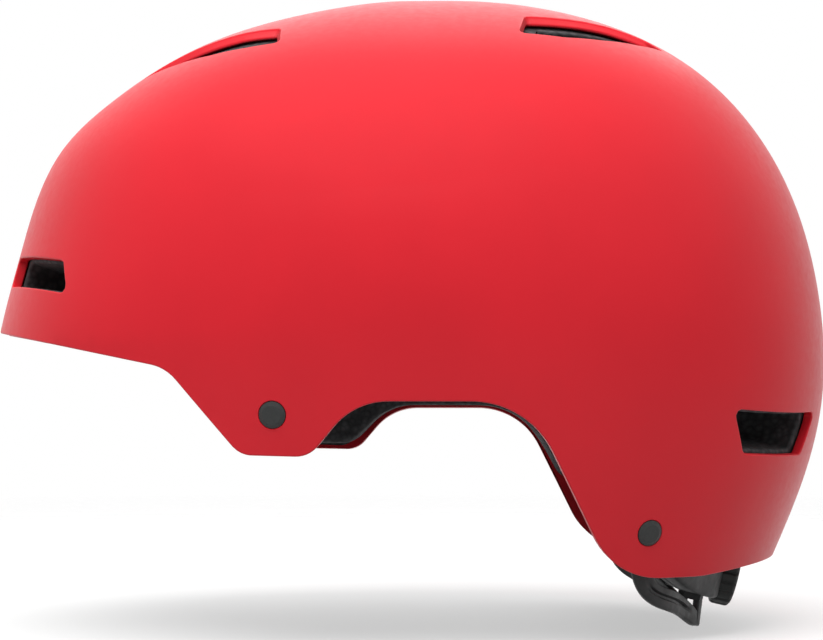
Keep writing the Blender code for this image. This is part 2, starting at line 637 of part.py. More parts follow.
def band_edges(m):
    t = min(1.0, max(0.0, (m - RACK_END) / (JOG_END - RACK_END)))
    mid = RACK_MID * (0.5 + 0.5 * math.cos(math.pi * t))
    half = RACK_BACK / 2 + (BAND_HALF - RACK_BACK / 2) * t
    w = min(1.0, max(0.0, (m - WING_FROM) / (0.4 * WING_LENGTH)))
    mid, half = mid + WING_RISE * w, half + (WING_HALF - half) * w
    end = max(0.0, (m - WING_FROM - 0.45 * WING_LENGTH) / (0.56 * WING_LENGTH))
    half *= math.sqrt(max(0.02, 1 - end ** 2))
    return mid - half, mid + half


for word, side in SIDES:
    root, tip, top = PITCH_R + DEDENDUM, PITCH_R - ADDENDUM, PITCH_R + DEDENDUM + RACK_BACK
    wide, thin = TOOTH_HALF + DEDENDUM * FLANK, TOOTH_HALF - ADDENDUM * FLANK
    outline = [(-RACK_TAIL, root, top)]
    for k in range(-1, int((RACK_END - 1.5) / RACK_PITCH) + 1):
        m = k * RACK_PITCH
        outline += [(m - wide, root, top), (m - thin, tip, top), (m + thin, tip, top), (m + wide, root, top)]
    spots = list(np.linspace(RACK_END, JOG_END, 9)) + list(np.linspace(JOG_END, WING_FROM, 6))[1:]
    spots += [WING_FROM + WING_LENGTH * t for t in (0.13, 0.27, 0.4, 0.55, 0.7, 0.82, 0.92, 0.98, 1.0)]
    outline += [(m, *band_edges(m)) for m in spots]
    wrapped(f"{word}_headband",
            [(side * m, box_ring(BAND_IN, BAND_OUT, *sorted((side * lo, side * hi)))) for m, lo,
             hi in outline],
            NYLON)


# Pinion on its shaft
def gear_outline():
    out, base = [], PITCH_R * math.cos(math.radians(20))
    inv = lambda r: math.sqrt(max(0.0, (r / base) ** 2 - 1)) - math.acos(min(1.0, base / r))
    half = TOOTH_HALF / PITCH_R + inv(PITCH_R)
    low, tip = PITCH_R - DEDENDUM, PITCH_R + 0.875 * MODULE
    for k in range(TEETH):
        a0 = 2 * math.pi * (k + 0.5) / TEETH
        flank = [(low, 0.88 * TOOTH_HALF / low), (low + 0.44 * MODULE, TOOTH_HALF / (low + 0.44 * MODULE))]
        flank += [(r, half - inv(r)) for r in np.linspace(0.95 * PITCH_R, tip, 4)]
        out += [(r * math.sin(a0 - t), r * math.cos(a0 - t)) for r, t in flank]
        out += [(r * math.sin(a0 + t), r * math.cos(a0 + t)) for r, t in flank[::-1]]
    return out


SHAFT_END = DIAL_FAR - 3.9
pinion = prism("dial_pinion", gear_outline(), POD_CENTRE, E_Y, E_H, BAND_R - BAND_OUT - 0.6,
               BAND_R - BAND_IN + 0.5, NYLON)
add(pinion, pin("pinion_shaft", SHAFT_R, 0.5, SHAFT_END, POD_CENTRE, -E_F, NYLON),
    pin("pinion_stub", STUB_R, PLATE_IN - BAND_R + 0.5, 0.0, POD_CENTRE, -E_F, NYLON))
cut(pinion, pin("pinion_thread_cut", SCREW_R + 0.15, SHAFT_END - 6.5, SHAFT_END + 8, POD_CENTRE, -E_F,
                NYLON, 20))


# Dial knob with a fluted grip, its screw and its click spring
def fluted(r, a):
    return r - 0.55 * max(0.0, math.cos(DIAL_FLUTES * a)) ** 2 if r > DIAL_R - 0.3 else r


GRIP, SKIRT = DIAL_R - 0.7, DIAL_R - 1.8
KNOB = [(SKIRT, DIAL_NEAR), (DIAL_R - 0.8, DIAL_NEAR), (DIAL_R, DIAL_NEAR + 0.7), (DIAL_R, DIAL_NEAR + 1.6),
        (GRIP, DIAL_NEAR + 1.9), (GRIP, DIAL_NEAR + 2.3), (DIAL_R, DIAL_NEAR + 2.6), (DIAL_R, DIAL_FAR - 1.2),
        (GRIP, DIAL_FAR - 0.35), (DIAL_R - 1.7, DIAL_FAR), (0.62 * DIAL_R, DIAL_FAR - 0.1), (3.6,
                DIAL_FAR - 0.5),
        (3.6, DIAL_FAR - 2.0), (1.7, DIAL_FAR - 2.0), (1.7, SHAFT_END + 0.2), (SKIRT, SHAFT_END + 0.2)]
turned("dial_knob", KNOB, POD_CENTRE, -E_F, GREY, 40, True, fluted)
turned("dial_screw", [(0, DIAL_FAR - 0.9), (2.6, DIAL_FAR - 0.9), (3.2, DIAL_FAR - 1.3), (3.2,
        DIAL_FAR - 1.8),
                      (SCREW_R, DIAL_FAR - 1.8), (SCREW_R, SHAFT_END - 5.2), (0, SHAFT_END - 5.6)],
       POD_CENTRE, -E_F, STEEL, 24, False)
SPRING_R, SPRING_T = 0.77 * DIAL_R, 0.7
SPRING_AT = COVER_OUT - BAND_R + 0.75 * DIAL_GAP


def clicked(r, a):
    return r + 0.7 * max(0.0, math.cos(2 * a)) ** 12 if r > SPRING_R - 0.2 else r


turned("click_spring", [(SHAFT_R + 0.6, SPRING_AT), (SPRING_R, SPRING_AT), (SPRING_R, SPRING_AT + SPRING_T),
                        (SHAFT_R + 0.6, SPRING_AT + SPRING_T)], POD_CENTRE, -E_F, STEEL, 36, True, clicked)

# Comfort pads
PAD_T, CROWN_PAD_T = 6.5, 8.0
pad("brow_pad", (1, 0, 0.22), (0, 1, 0), math.radians(50), 0.085, PAD_T, 18)
pad("crown_pad", (0.05, 0, 1), (1, 0, 0), math.radians(26), 0.22, CROWN_PAD_T, 12)
for word, side in SIDES:
    pad(f"{word}_side_pad", (-0.05, side, 0.3), (1, 0, 0), math.radians(24), 0.13, PAD_T, 12)
pad("rear_pad", (-1, 0, 0.1), (0, 1, 0), math.radians(26), 0.13, PAD_T, 12)

# Nape pads on the head side of the pod plate
NAPE_AT, NAPE_HALF, NAPE_HIGH, NAPE_T = 0.41 * POD_REACH, 0.295 * POD_REACH, 0.55 * POD_HALF_HEIGHT, 4.1
for word, side in SIDES:
    stations = []
    for i in range(13):
        a = -math.cos(math.pi * i / 12)
        s = side * (NAPE_AT + NAPE_HALF * a)
        h = NAPE_HIGH * (0.35 + 0.65 * (1 - abs(a) ** 4) ** 0.25)
        t = NAPE_T * (0.3 + 0.7 * (1 - a ** 6) ** 0.5)
        r = PLATE_IN - 0.5
        ring = [(r, -h), (r, h), (r - 0.9, h), (r - 0.55 * t - 0.5, 0.9 * h), (r - 0.9 * t, 0.55 * h),
                (r - t, 0),
                (r - 0.9 * t, -0.55 * h), (r - 0.55 * t - 0.5, -0.9 * h), (r - 0.9, -h)]
        stations.append((s, ring))
    wrapped(f"{word}_nape_pad", stations, FABRIC)
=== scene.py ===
"""Looks of the water helmet: satin shell, bead-foam liner, knit pads and the rear dial cradle."""
import json
import math

import bmesh
import bpy
import numpy as np
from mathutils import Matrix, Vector
from mathutils.geometry import delaunay_2d_cdt


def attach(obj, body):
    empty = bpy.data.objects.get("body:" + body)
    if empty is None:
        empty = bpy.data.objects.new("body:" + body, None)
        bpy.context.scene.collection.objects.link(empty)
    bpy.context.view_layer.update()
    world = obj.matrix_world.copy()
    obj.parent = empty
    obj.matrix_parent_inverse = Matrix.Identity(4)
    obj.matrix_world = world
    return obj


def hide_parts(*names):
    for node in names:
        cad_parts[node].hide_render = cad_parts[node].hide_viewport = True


MM = 0.001
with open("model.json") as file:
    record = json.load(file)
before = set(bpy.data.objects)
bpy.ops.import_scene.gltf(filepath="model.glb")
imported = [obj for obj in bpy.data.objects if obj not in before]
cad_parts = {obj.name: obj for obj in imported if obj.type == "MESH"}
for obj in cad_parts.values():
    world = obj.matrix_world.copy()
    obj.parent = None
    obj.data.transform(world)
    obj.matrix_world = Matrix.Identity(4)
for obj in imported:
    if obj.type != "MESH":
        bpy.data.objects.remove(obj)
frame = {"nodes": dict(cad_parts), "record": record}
scene = bpy.context.scene
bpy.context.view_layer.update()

# Form of the helmet in millimetres: the values of the solids, apart from a lower liner rim at the ear cut.
# Profiles, rims and rivets are x and z from the side, with corner radii in the rims, sections are y and z,
# slots are x and y in plan, and vents are corners in space
CENTRE = np.array([0.0, 0.0, 25.0])
PROFILE = [(139, 18), (131.5, 48.5), (124.5, 71.5), (117.5, 84.5), (103.5, 98.5), (76, 117),
           (39.5, 129.5), (-10, 136.5), (-57, 130.5), (-97, 111.5), (-125, 77), (-137.5, 35),
           (-138.5, 3), (-132, -25), (-121.5, -51), (-108, -80)]
SECTION = [(0, 136.5), (46, 126.5), (82, 100), (102, 63.5), (108, 28), (106, 0), (102, -25),
           (95, -55), (85, -85)]
CAVITY_PROFILE = [(104, -20), (105.5, 0), (104.5, 25), (98, 60), (80, 88), (45, 104), (0, 109.5),
                  (-45, 105.5), (-82, 88), (-102, 58), (-108, 25), (-107.5, 0), (-104, -35), (-98, -70)]
CAVITY_SECTION = [(0, 109.5), (40, 101), (68, 76), (81.5, 40), (84, 10), (83.5, -20), (81, -60)]
SQUARENESS = 2.25
SHELL_WALL, LINER_INSET, PAD_GAP = 3.0, 3.4, 0.9
SHELL_RIM = [(160, 28.7, 0), (69.4, 10.15, 14), (47, -15.7, 8), (26.3, -16.2, 8.5), (12.7, 0.1, 21),
             (-37.9, 0.1, 27), (-64.4, -53.3, 23), (-92, -53.6, 40), (-160, -45.2, 0)]
LINER_RIM = [(160, 31.0, 0), (68.6, 12.6, 13), (46.0, -13.1, 7), (27.4, -13.5, 7), (13.2, 1.3, 22),
             (-38.6, 1.2, 28), (-53.3, -27.0, 6), (-160, -27.0, 0)]
FRONT_SLOT = [(40, 52.5), (52, 45), (66, 37.8), (84, 31), (86.5, 35.5), (74, 47.5), (62, 55.5),
              (50, 60.5), (39, 63.5)]
REAR_SLOT = [(-37.5, 48.5), (-50, 43), (-65, 34.5), (-77, 29.5), (-83, 33.5), (-74, 44.5),
             (-62, 53.5), (-50, 59.3), (-35.5, 62)]
BROW_VENT = [(104.8, 71.9, 43.9), (102.7, 76.6, 33.4), (129.3, 35.5, 38.2), (126.9, 35, 47.6)]
NAPE_VENT = [(-101, 78.2, -1.8), (-104.5, 72, -15.6), (-126, 43.6, -16.1), (-131.4, 38.4, -2.4)]
VENT_CORNER, FOAM_VENT_SCALE = 1.9, 0.84
FRONT_RIVET, REAR_RIVET = (37.0, -3.8), (-74.8, -39.3)

# Rear cradle: the values of the solids, apart from slightly straighter arms
CRADLE_LEAN = math.radians(13.0)
POD_CENTRE = np.array([-99.0, 0.0, -54.5])
BAND_R, BAND_T, BAND_SLACK, BAND_HALF = 85.0, 2.6, 0.9, 3.1
COVER_FACE, COVER_WALL, PLATE_T, FIT = 1.4, 1.4, 2.5, 0.3
POD_REACH, POD_HALF_HEIGHT, POD_LIFT, POD_END = BAND_R * math.radians(40.0), 11.2, 1.4, 0.985
POD_FULLNESS, LENS_LEAST = 2.2, 0.9
BAND_IN, BAND_OUT = BAND_R - 0.4 * BAND_T, BAND_R + 0.6 * BAND_T
COVER_IN, COVER_OUT = BAND_IN - BAND_SLACK, BAND_OUT + BAND_SLACK + COVER_FACE
PLATE_OUT = COVER_IN - FIT
PLATE_IN = PLATE_OUT - PLATE_T
PLATE_MID = PLATE_OUT - PLATE_T / 2
COVER_BELLY, BELLY_END, DISH_GAP = 3.0, 34.0, 0.7
SHAFT_R, STUB_R, TURN_GAP = 2.6, 1.75, 0.1
STRUT_AT, STRUT_HALF, STRUT_DROP, STRUT_T, STRUT_FOOT = 24.5, 2.5, 9.2, 2.3, 4.6
FOOT_SHIFT, FOOT_OUT, FOOT_SHARE, TIP_OUT, TOP_SUNK, TOP_DROP = 0.7, 6.0, 0.85, 6.5, 1.8, 1.6
ARM_T, ARM_EDGE, ARM_START = 2.4, 0.7, (-0.4, -0.5, -10.1)
ARM_BENDS = [(0.10, 0.08, 0.366), (0.44, 0.306, 0.60), (0.768, 0.717, 0.80), (0.95, 0.92, 0.955),
             (1, 1, 1)]
ARM_WIDTHS = [7.0, 6.8, 6.6, 7.0, 6.4, 5.6, 4.6]
LUG_X, LUG_Y, LUG_Z, LUG_R, LUG_T, PIVOT_HOLE = -72.4, 69.93, -37.9, 6.2, 2.4, 2.7
DIAL_R, DIAL_T, DIAL_GAP, DIAL_FLUTES = 12.0, 6.7, 1.2, 20
DIAL_NEAR = COVER_OUT - BAND_R + DIAL_GAP
DIAL_FAR = DIAL_NEAR + DIAL_T
NAPE_AT, NAPE_HALF = 0.41 * POD_REACH, 0.295 * POD_REACH
NAPE_HIGH, NAPE_T = 0.55 * POD_HALF_HEIGHT, 4.1
SCREW_AT, SCREW_HIGH = 0.49 * POD_REACH, 0.44 * POD_HALF_HEIGHT
SCREW_HEAD_R, SCREW_R, SCREW_GAP = 1.9, 0.95, 0.25
SIDES = {"left": 1, "right": -1}
# Directions of the leaning cradle: forward, up and left
E_F = np.array([math.cos(CRADLE_LEAN), 0.0, math.sin(CRADLE_LEAN)])
E_H = np.array([-math.sin(CRADLE_LEAN), 0.0, math.cos(CRADLE_LEAN)])
E_Y = np.array([0.0, 1.0, 0.0])


# Point at a distance s round the band, a radius r and a height h, and its outward direction
def wrap(s, r, h):
    s, h = np.asarray(s, float), np.asarray(h, float)
    out = np.sin(s / BAND_R)[..., None] * E_Y - np.cos(s / BAND_R)[..., None] * E_F
    return POD_CENTRE + BAND_R * E_F + out * np.asarray(r, float)[..., None] + h[..., None] * E_H, out


def unit(v):
    v = np.asarray(v, float)
    return v / np.linalg.norm(v, axis=-1, keepdims=True)


def smooth(t):
    t = np.clip(t, 0, 1)
    return t * t * (3 - 2 * t)


# Natural cubic curve through points
def spline(xs, ys):
    xs, ys = np.array(xs, float), np.array(ys, float)
    n, h = len(xs), np.diff(xs)
    a, b = np.zeros((n, n)), np.zeros(n)
    a[0, 0] = a[-1, -1] = 1.0
    for i in range(1, n - 1):
        a[i, i - 1:i + 2] = h[i - 1], 2 * (h[i - 1] + h[i]), h[i]
        b[i] = 6 * ((ys[i + 1] - ys[i]) / h[i] - (ys[i] - ys[i - 1]) / h[i - 1])
    m = np.linalg.solve(a, b)

    def value(x):
        x = np.clip(x, xs[0], xs[-1])
        i = np.clip(np.searchsorted(xs, x) - 1, 0, n - 2)
        d, r = x - xs[i], xs[i + 1] - x
        return (m[i] * r ** 3 + m[i + 1] * d ** 3) / (6 * h[i]) \
            + (ys[i] / h[i] - m[i] * h[i] / 6) * r + (ys[i + 1] / h[i] - m[i + 1] * h[i] / 6) * d
    return value


def polar(points):
    return sorted((math.atan2(a, b - CENTRE[2]), math.hypot(a, b - CENTRE[2])) for a, b in points)


# Radius of a rounded form in any direction, from its side profile and its front section
def head_form(profile, section):
    mid = spline(*zip(*polar(profile)))
    side = spline(*zip(*polar([(-y, z) for y, z in section[1:]] + list(section))))

    def radius(d):
        tilt = np.arccos(np.clip(d[..., 2], -1, 1))
        turn = np.arctan2(d[..., 1], d[..., 0])
        c, s = np.cos(turn), np.sin(turn)
        n = 2 + (SQUARENESS - 2) * np.sin(np.minimum(tilt, math.pi / 2)) ** 2
        long = np.abs(c) / mid(np.where(c >= 0, tilt, -tilt))
        wide = np.abs(s) / side(tilt)
        return (long ** n + wide ** n) ** (-1 / n)
    return radius


OUTSIDE = head_form(PROFILE, SECTION)
HEADSPACE = head_form(CAVITY_PROFILE, CAVITY_SECTION)


def on_form(radius, d):
    d = unit(d)
    return CENTRE + d * radius(d)[..., None]


def normal_at(radius, d):
    d, step = unit(d), 1e-3
    e1 = unit(np.cross(d, np.where(np.abs(d[..., 2:3]) < 0.9, [0.0, 0.0, 1.0], [1.0, 0.0, 0.0])))
    e2 = np.cross(d, e1)
    n = unit(np.cross(on_form(radius, d + e1 * step) - on_form(radius, d - e1 * step),
                      on_form(radius, d + e2 * step) - on_form(radius, d - e2 * step)))
    return n * np.sign((n * d).sum(-1, keepdims=True))


def inside(radius, p):
    v = p - CENTRE
    r = np.linalg.norm(v, axis=-1)
    return r < radius(v / r[..., None])


# A surface takes directions and gives points and outward normals
def inset_surface(radius, depth, dent=None):
    def at(d):
        d = unit(d)
        n = normal_at(radius, d)
        p = on_form(radius, d)
        return p - n * (depth + (dent(p) if dent else np.zeros(p.shape[:-1])))[..., None], n
    return at


# Outline with each corner (x, y, radius) turned into an arc
def rounded(corners, steps=10):
    out, n = [], len(corners)
    for i, (x, y, r) in enumerate(corners):
        p = np.array([x, y], float)
        a = unit(np.array(corners[i - 1][:2], float) - p)
        b = unit(np.array(corners[(i + 1) % n][:2], float) - p)
        half = math.acos(max(-1.0, min(1.0, float(a @ b)))) / 2
        if r <= 0 or half > math.radians(89):
            out.append(p)
            continue
        middle = p + unit(a + b) * r / math.sin(half)
        start, end = p + a * r / math.tan(half) - middle, p + b * r / math.tan(half) - middle
        t0 = math.atan2(start[1], start[0])
        turn = (math.atan2(end[1], end[0]) - t0 + math.pi) % (2 * math.pi) - math.pi
        out += [middle + r * np.array([math.cos(t0 + turn * k / steps), math.sin(t0 + turn * k / steps)])
                for k in range(steps + 1)]
    return np.array(out)


def resample(loop, step):
    closed = np.vstack([loop, loop[:1]])
    t = np.r_[0, np.cumsum(np.linalg.norm(np.diff(closed, axis=0), axis=1))]
    n = max(12, int(round(t[-1] / step)))
    s = np.linspace(0, t[-1], n, endpoint=False)
    return np.stack([np.interp(s, t, closed[:, k]) for k in range(closed.shape[1])], 1)


# Lower edge of a surface: for each turn about the vertical, where it meets the side outline
def rim_loop(surface, outline, count=560):
    line = rounded(outline, 16)
    order = np.argsort(line[:, 0])
    turn = np.linspace(0, 2 * math.pi, count, endpoint=False)
    lo, hi = np.full(count, math.radians(50)), np.full(count, math.radians(150))
    for _ in range(30):
        tilt = (lo + hi) / 2
        d = np.stack([np.sin(tilt) * np.cos(turn), np.sin(tilt) * np.sin(turn), np.cos(tilt)], 1)
        p, _n = surface(d)
        above = p[:, 2] > np.interp(p[:, 0], line[order, 0], line[order, 1])
        lo, hi = np.where(above, tilt, lo), np.where(above, hi, tilt)
    return surface(d)[0]


# Point of the outside over a place in plan, and beside a place in the side view with its normal
def above(x, y):
    lo, hi = 30.0, 200.0
    for _ in range(40):
        z = (lo + hi) / 2
        lo, hi = (z, hi) if inside(OUTSIDE, np.array([x, y, z])) else (lo, z)
    return np.array([x, y, lo])


def beside(x, z):
    lo, hi = 0.0, 200.0
    for _ in range(40):
        y = (lo + hi) / 2
        lo, hi = (y, hi) if inside(OUTSIDE, np.array([x, y, z])) else (lo, y)
    p = np.array([x, lo, z])
    return p, normal_at(OUTSIDE, (p - CENTRE)[None])[0]


# Outline carried along a direction on to a surface
def cast(points, along, surface):
    lo, hi = np.full(len(points), -70.0), np.full(len(points), 40.0)
    for _ in range(36):
        t = (lo + hi) / 2
        p = points + along * t[:, None]
        q = surface(p - CENTRE)[0]
        deep = np.linalg.norm(p - CENTRE, axis=1) < np.linalg.norm(q - CENTRE, axis=1)
        lo, hi = np.where(deep, t, lo), np.where(deep, hi, t)
    return p


def vent_outline(points, side, scale):
    points = np.array(points, float) * np.array([1, side, 1])
    middle = points.mean(0)
    n = normal_at(OUTSIDE, (middle - CENTRE)[None])[0]
    ax = unit(np.cross((0, 0, 1), n))
    ay = np.cross(n, ax)
    flat = rounded([((p - middle) @ ax * scale, (p - middle) @ ay * scale, VENT_CORNER * scale ** 3)
                    for p in points])
    flat = resample(flat, 1.5)
    return middle + flat[:, :1] * ax + flat[:, 1:] * ay, n


def circle_outline(middle, n, r, count=40):
    ax = unit(np.cross((0, 0, 1), n))
    ay = np.cross(n, ax)
    a = np.linspace(0, 2 * math.pi, count, endpoint=False)[:, None]
    return middle + r * (np.cos(a) * ax + np.sin(a) * ay)


# Directions laid flat round the vertical, and back
def to_plane(d):
    d = unit(d)
    tilt, turn = np.arccos(np.clip(d[:, 2], -1, 1)), np.arctan2(d[:, 1], d[:, 0])
    return np.stack([tilt * np.cos(turn), tilt * np.sin(turn)], 1)


def from_plane(q):
    tilt, turn = np.hypot(q[:, 0], q[:, 1]), np.arctan2(q[:, 1], q[:, 0])
    return np.stack([np.sin(tilt) * np.cos(turn), np.sin(tilt) * np.sin(turn), np.cos(tilt)], 1)


# Whether points of a plane lie inside a closed outline
def in_polygon(p, poly):
    hit = np.zeros(len(p), bool)
    for (x0, y0), (x1, y1) in zip(poly, np.roll(poly, -1, 0)):
        if y0 == y1:
            continue
        spans = (y0 > p[:, 1]) != (y1 > p[:, 1])
        hit ^= spans & (p[:, 0] < (x1 - x0) * (p[:, 1] - y0) / (y1 - y0) + x0)
    return hit


def near_polygon(p, poly, limit):
    close = np.zeros(len(p), bool)
    for c in resample(poly, limit * 0.5):
        close |= ((p - c) ** 2).sum(1) < limit * limit
    return close


# Edge directions of a loop on a surface: into the material, within the surface
def loop_frame(loop, surface, hole):
    _p, n = surface(loop - CENTRE)
    t = unit(np.roll(loop, -1, 0) - np.roll(loop, 1, 0))
    m = unit(np.cross(n, t))
    sense = ((loop - loop.mean(0)) * m).sum(1).mean() if hole else m[:, 2].mean()
    return n, m if sense > 0 else -m


class Skin:
    """Triangles of a surface between an outer rim and holes, fine and even, with its loops kept."""

    def __init__(self, surface, rim, holes, spacing):
        self.surface = surface
        loops = [to_plane(rim - CENTRE)] + [to_plane(h - CENTRE) for h in holes]
        reach = np.abs(loops[0]).max() + spacing
        rows = np.arange(-reach, reach, spacing * 0.866)
        grid = np.array([(x + (i % 2) * spacing / 2, y) for i, y in enumerate(rows)
                         for x in np.arange(-reach, reach, spacing)])
        margin = spacing * 0.62
        keep = in_polygon(grid, loops[0]) & ~near_polygon(grid, loops[0], margin)
        for h in loops[1:]:
            keep &= ~in_polygon(grid, h) & ~near_polygon(grid, h, margin)
        pts, edges, self.loops = [], [], []
        for lp in loops:
            start = len(pts)
            self.loops.append(list(range(start, start + len(lp))))
            pts += [Vector(p) for p in lp]
            edges += [(start + i, start + (i + 1) % len(lp)) for i in range(len(lp))]
        pts += [Vector(p) for p in grid[keep]]
        co, _e, faces, orig, _oe, _of = delaunay_2d_cdt(pts, edges, [], 0, 1e-7)
        moved_to = {old: new for new, olds in enumerate(orig) for old in olds}
        self.loops = [[moved_to[i] for i in lp] for lp in self.loops]
        q = np.array([tuple(c) for c in co])
        tri = np.array(faces)
        mid = q[tri].mean(1)
        ok = in_polygon(mid, loops[0])
        for h in loops[1:]:
            ok &= ~in_polygon(mid, h)
        self.tri = tri[ok]
        self.points, self.normals = surface(from_plane(q))


def make_object(name, points, faces, normals, material):
    mesh = bpy.data.meshes.new(name)
    mesh.from_pydata([tuple(float(c) * MM for c in p) for p in points], [], faces)
    mesh.validate()
    mesh.shade_smooth()
    if normals is not None:
        mesh.normals_split_custom_set_from_vertices([tuple(map(float, n)) for n in normals])
    mesh.materials.append(material)
    obj = bpy.data.objects.new(name, mesh)
    scene.collection.objects.link(obj)
    return obj


# Smooth shading that keeps the edges sharper than an angle
def crisp(obj, degrees):
    obj.data.shade_smooth()
    obj.data.set_sharp_from_angle(angle=math.radians(degrees))


# Strip of faces between two rings, turned to the side of its normals
def strip(points, normals, one, two):
    n = len(one)
    faces = [(one[i], one[(i + 1) % n], two[(i + 1) % n], two[i]) for i in range(n)]
    p = np.array([[points[v] for v in f] for f in faces])
    g = np.cross(p[:, 2] - p[:, 0], p[:, 3] - p[:, 1])
    side = (g * np.array([[normals[v] for v in f] for f in faces]).sum(1)).sum()
    return faces if side > 0 else [f[::-1] for f in faces]


# Two skins joined along their loops by rounded edges
def sheet_body(front, back, edges):
    points = [tuple(p) for p in front.points] + [tuple(p) for p in back.points]
    normals = [tuple(n) for n in front.normals] + [tuple(n) for n in back.normals]
    base = len(front.points)
    faces = [tuple(int(v) for v in f) for f in front.tri]
    faces += [tuple(int(v) + base for v in f[::-1]) for f in back.tri]
    for a_loop, b_loop, rows, row_normals in edges:
        n = len(a_loop)
        previous = list(a_loop)
        for ring, nr in zip(rows, row_normals):
            start = len(points)
            points += [tuple(p) for p in ring]
            normals += [tuple(v) for v in nr]
            current = list(range(start, start + n))
            faces += strip(points, normals, previous, current)
            previous = current
        faces += strip(points, normals, previous, [base + v for v in b_loop])
    return points, faces, normals


# Quarter rounds at both ends of a wall between two edges, shaded by the slope of the wall
def wall_rows(edge_a, n_a, m_a, edge_b, n_b, m_b, ra, rb, steps=5, middle=1):
    rows, norms = [], []
    top, low = edge_a - n_a * ra, edge_b - n_b * rb
    run = unit(low - top)
    face_a, face_b = (unit((m * run).sum(1, keepdims=True) * run - m) for m in (m_a, m_b))
    for k in range(1, steps + 1):
        f = math.pi / 2 * k / steps
        rows.append(edge_a + m_a * ra - n_a * ra + ra * (n_a * math.cos(f) - m_a * math.sin(f)))
        norms.append(unit(n_a * math.cos(f) + face_a * math.sin(f)))
    for k in range(1, middle + 1):
        w = k / (middle + 1)
        rows.append(top * (1 - w) + low * w)
        norms.append(unit(face_a * (1 - w) + face_b * w))
    for k in range(0, steps):
        f = math.pi / 2 * k / steps
        rows.append(edge_b + m_b * rb - n_b * rb + rb * (-m_b * math.cos(f) + n_b * math.sin(f)))
        norms.append(unit(face_b * math.cos(f) + n_b * math.sin(f)))
    return rows, norms


# Materials: a plain shader with its texture coordinates, and the patterns that drive it
def material(name, colour, rough):
    m = bpy.data.materials.new(name)
    m.use_nodes = True
    nodes, links = m.node_tree.nodes, m.node_tree.links
    shader = nodes["Principled BSDF"]
    shader.inputs["Base Color"].default_value = (*colour, 1)
    shader.inputs["Roughness"].default_value = rough
    where = nodes.new("ShaderNodeTexCoord")
    return m, nodes, links, shader, where


def noise(nodes, links, where, scale, detail=2.0, rough=0.5):
    t = nodes.new("ShaderNodeTexNoise")
    t.inputs["Scale"].default_value = scale
    t.inputs["Detail"].default_value = detail
    t.inputs["Roughness"].default_value = rough
    links.new(where.outputs["Object"], t.inputs["Vector"])
    return t.outputs["Fac"]


def ramp(nodes, links, source, stops):
    r = nodes.new("ShaderNodeValToRGB")
    while len(r.color_ramp.elements) < len(stops):
        r.color_ramp.elements.new(0.5)
    for e, (p, c) in zip(r.color_ramp.elements, stops):
        e.position, e.color = p, (*c, 1) if isinstance(c, tuple) else (c, c, c, 1)
    links.new(source, r.inputs["Fac"])
    return r.outputs["Color"]


# Two sources worked into one, where either may be a plain number
def combined(nodes, links, operation, one, two):
    m = nodes.new("ShaderNodeMath")
    m.operation = operation
    for value, socket in zip((one, two), m.inputs):
        if isinstance(value, float):
            socket.default_value = value
        else:
            links.new(value, socket)
    return m.outputs[0]


def ranged(nodes, links, source, low, high, dim, bright, easing="LINEAR"):
    r = nodes.new("ShaderNodeMapRange")
    r.interpolation_type = easing
    for key, value in (("From Min", low), ("From Max", high), ("To Min", dim), ("To Max", bright)):
        r.inputs[key].default_value = value
    links.new(source, r.inputs["Value"])
    return r.outputs["Result"]


def bump(nodes, links, shader, height, distance, strength):
    b = nodes.new("ShaderNodeBump")
    b.inputs["Strength"].default_value = strength
    b.inputs["Distance"].default_value = distance
    links.new(height, b.inputs["Height"])
    links.new(b.outputs["Normal"], shader.inputs["Normal"])


def red_abs():
    m, nodes, links, shader, where = material("satin_red", (0.62, 0.0145, 0.025), 0.36)
    broad = noise(nodes, links, where, 26.0, 3.0)
    reds = [(0.3, (0.60, 0.0140, 0.0242)), (0.7, (0.64, 0.0150, 0.0258))]
    links.new(ramp(nodes, links, broad, reds), shader.inputs["Base Color"])
    fine = noise(nodes, links, where, 420.0, 3.0)
    links.new(ramp(nodes, links, fine, [(0.3, 0.33), (0.7, 0.40)]), shader.inputs["Roughness"])
    bump(nodes, links, shader, noise(nodes, links, where, 900.0, 2.0), 0.00002, 0.6)
    shader.inputs["Specular IOR Level"].default_value = 0.2
    return m


def bead_foam():
    m, nodes, links, shader, where = material("bead_foam", (0.012, 0.012, 0.013), 0.85)
    cells = nodes.new("ShaderNodeTexVoronoi")
    cells.inputs["Scale"].default_value = 440.0
    cells.inputs["Randomness"].default_value = 0.85
    links.new(where.outputs["Object"], cells.inputs["Vector"])
    greys = [(0.0, (0.105, 0.105, 0.109)), (0.65, (0.042, 0.042, 0.044))]
    links.new(ramp(nodes, links, cells.outputs["Distance"], greys), shader.inputs["Base Color"])
    height = combined(nodes, links, "SUBTRACT", 1.0, cells.outputs["Distance"])
    bump(nodes, links, shader, height, 0.0005, 0.7)
    shader.inputs["Specular IOR Level"].default_value = 0.2
    return m


def nylon(name, colour, rough, grain):
    m, nodes, links, shader, where = material(name, colour, rough)
    fine = noise(nodes, links, where, grain, 4.0, 0.6)
    dark, light = tuple(c * 0.82 for c in colour), tuple(c * 1.2 for c in colour)
    links.new(ramp(nodes, links, fine, [(0.3, dark), (0.7, light)]), shader.inputs["Base Color"])
    broad = noise(nodes, links, where, grain * 0.5, 3.0)
    sheen = [(0.3, rough - 0.06), (0.7, rough + 0.08)]
    links.new(ramp(nodes, links, broad, sheen), shader.inputs["Roughness"])
    bump(nodes, links, shader, fine, 0.00004, 0.8)
    shader.inputs["Specular IOR Level"].default_value = 0.25
    return m


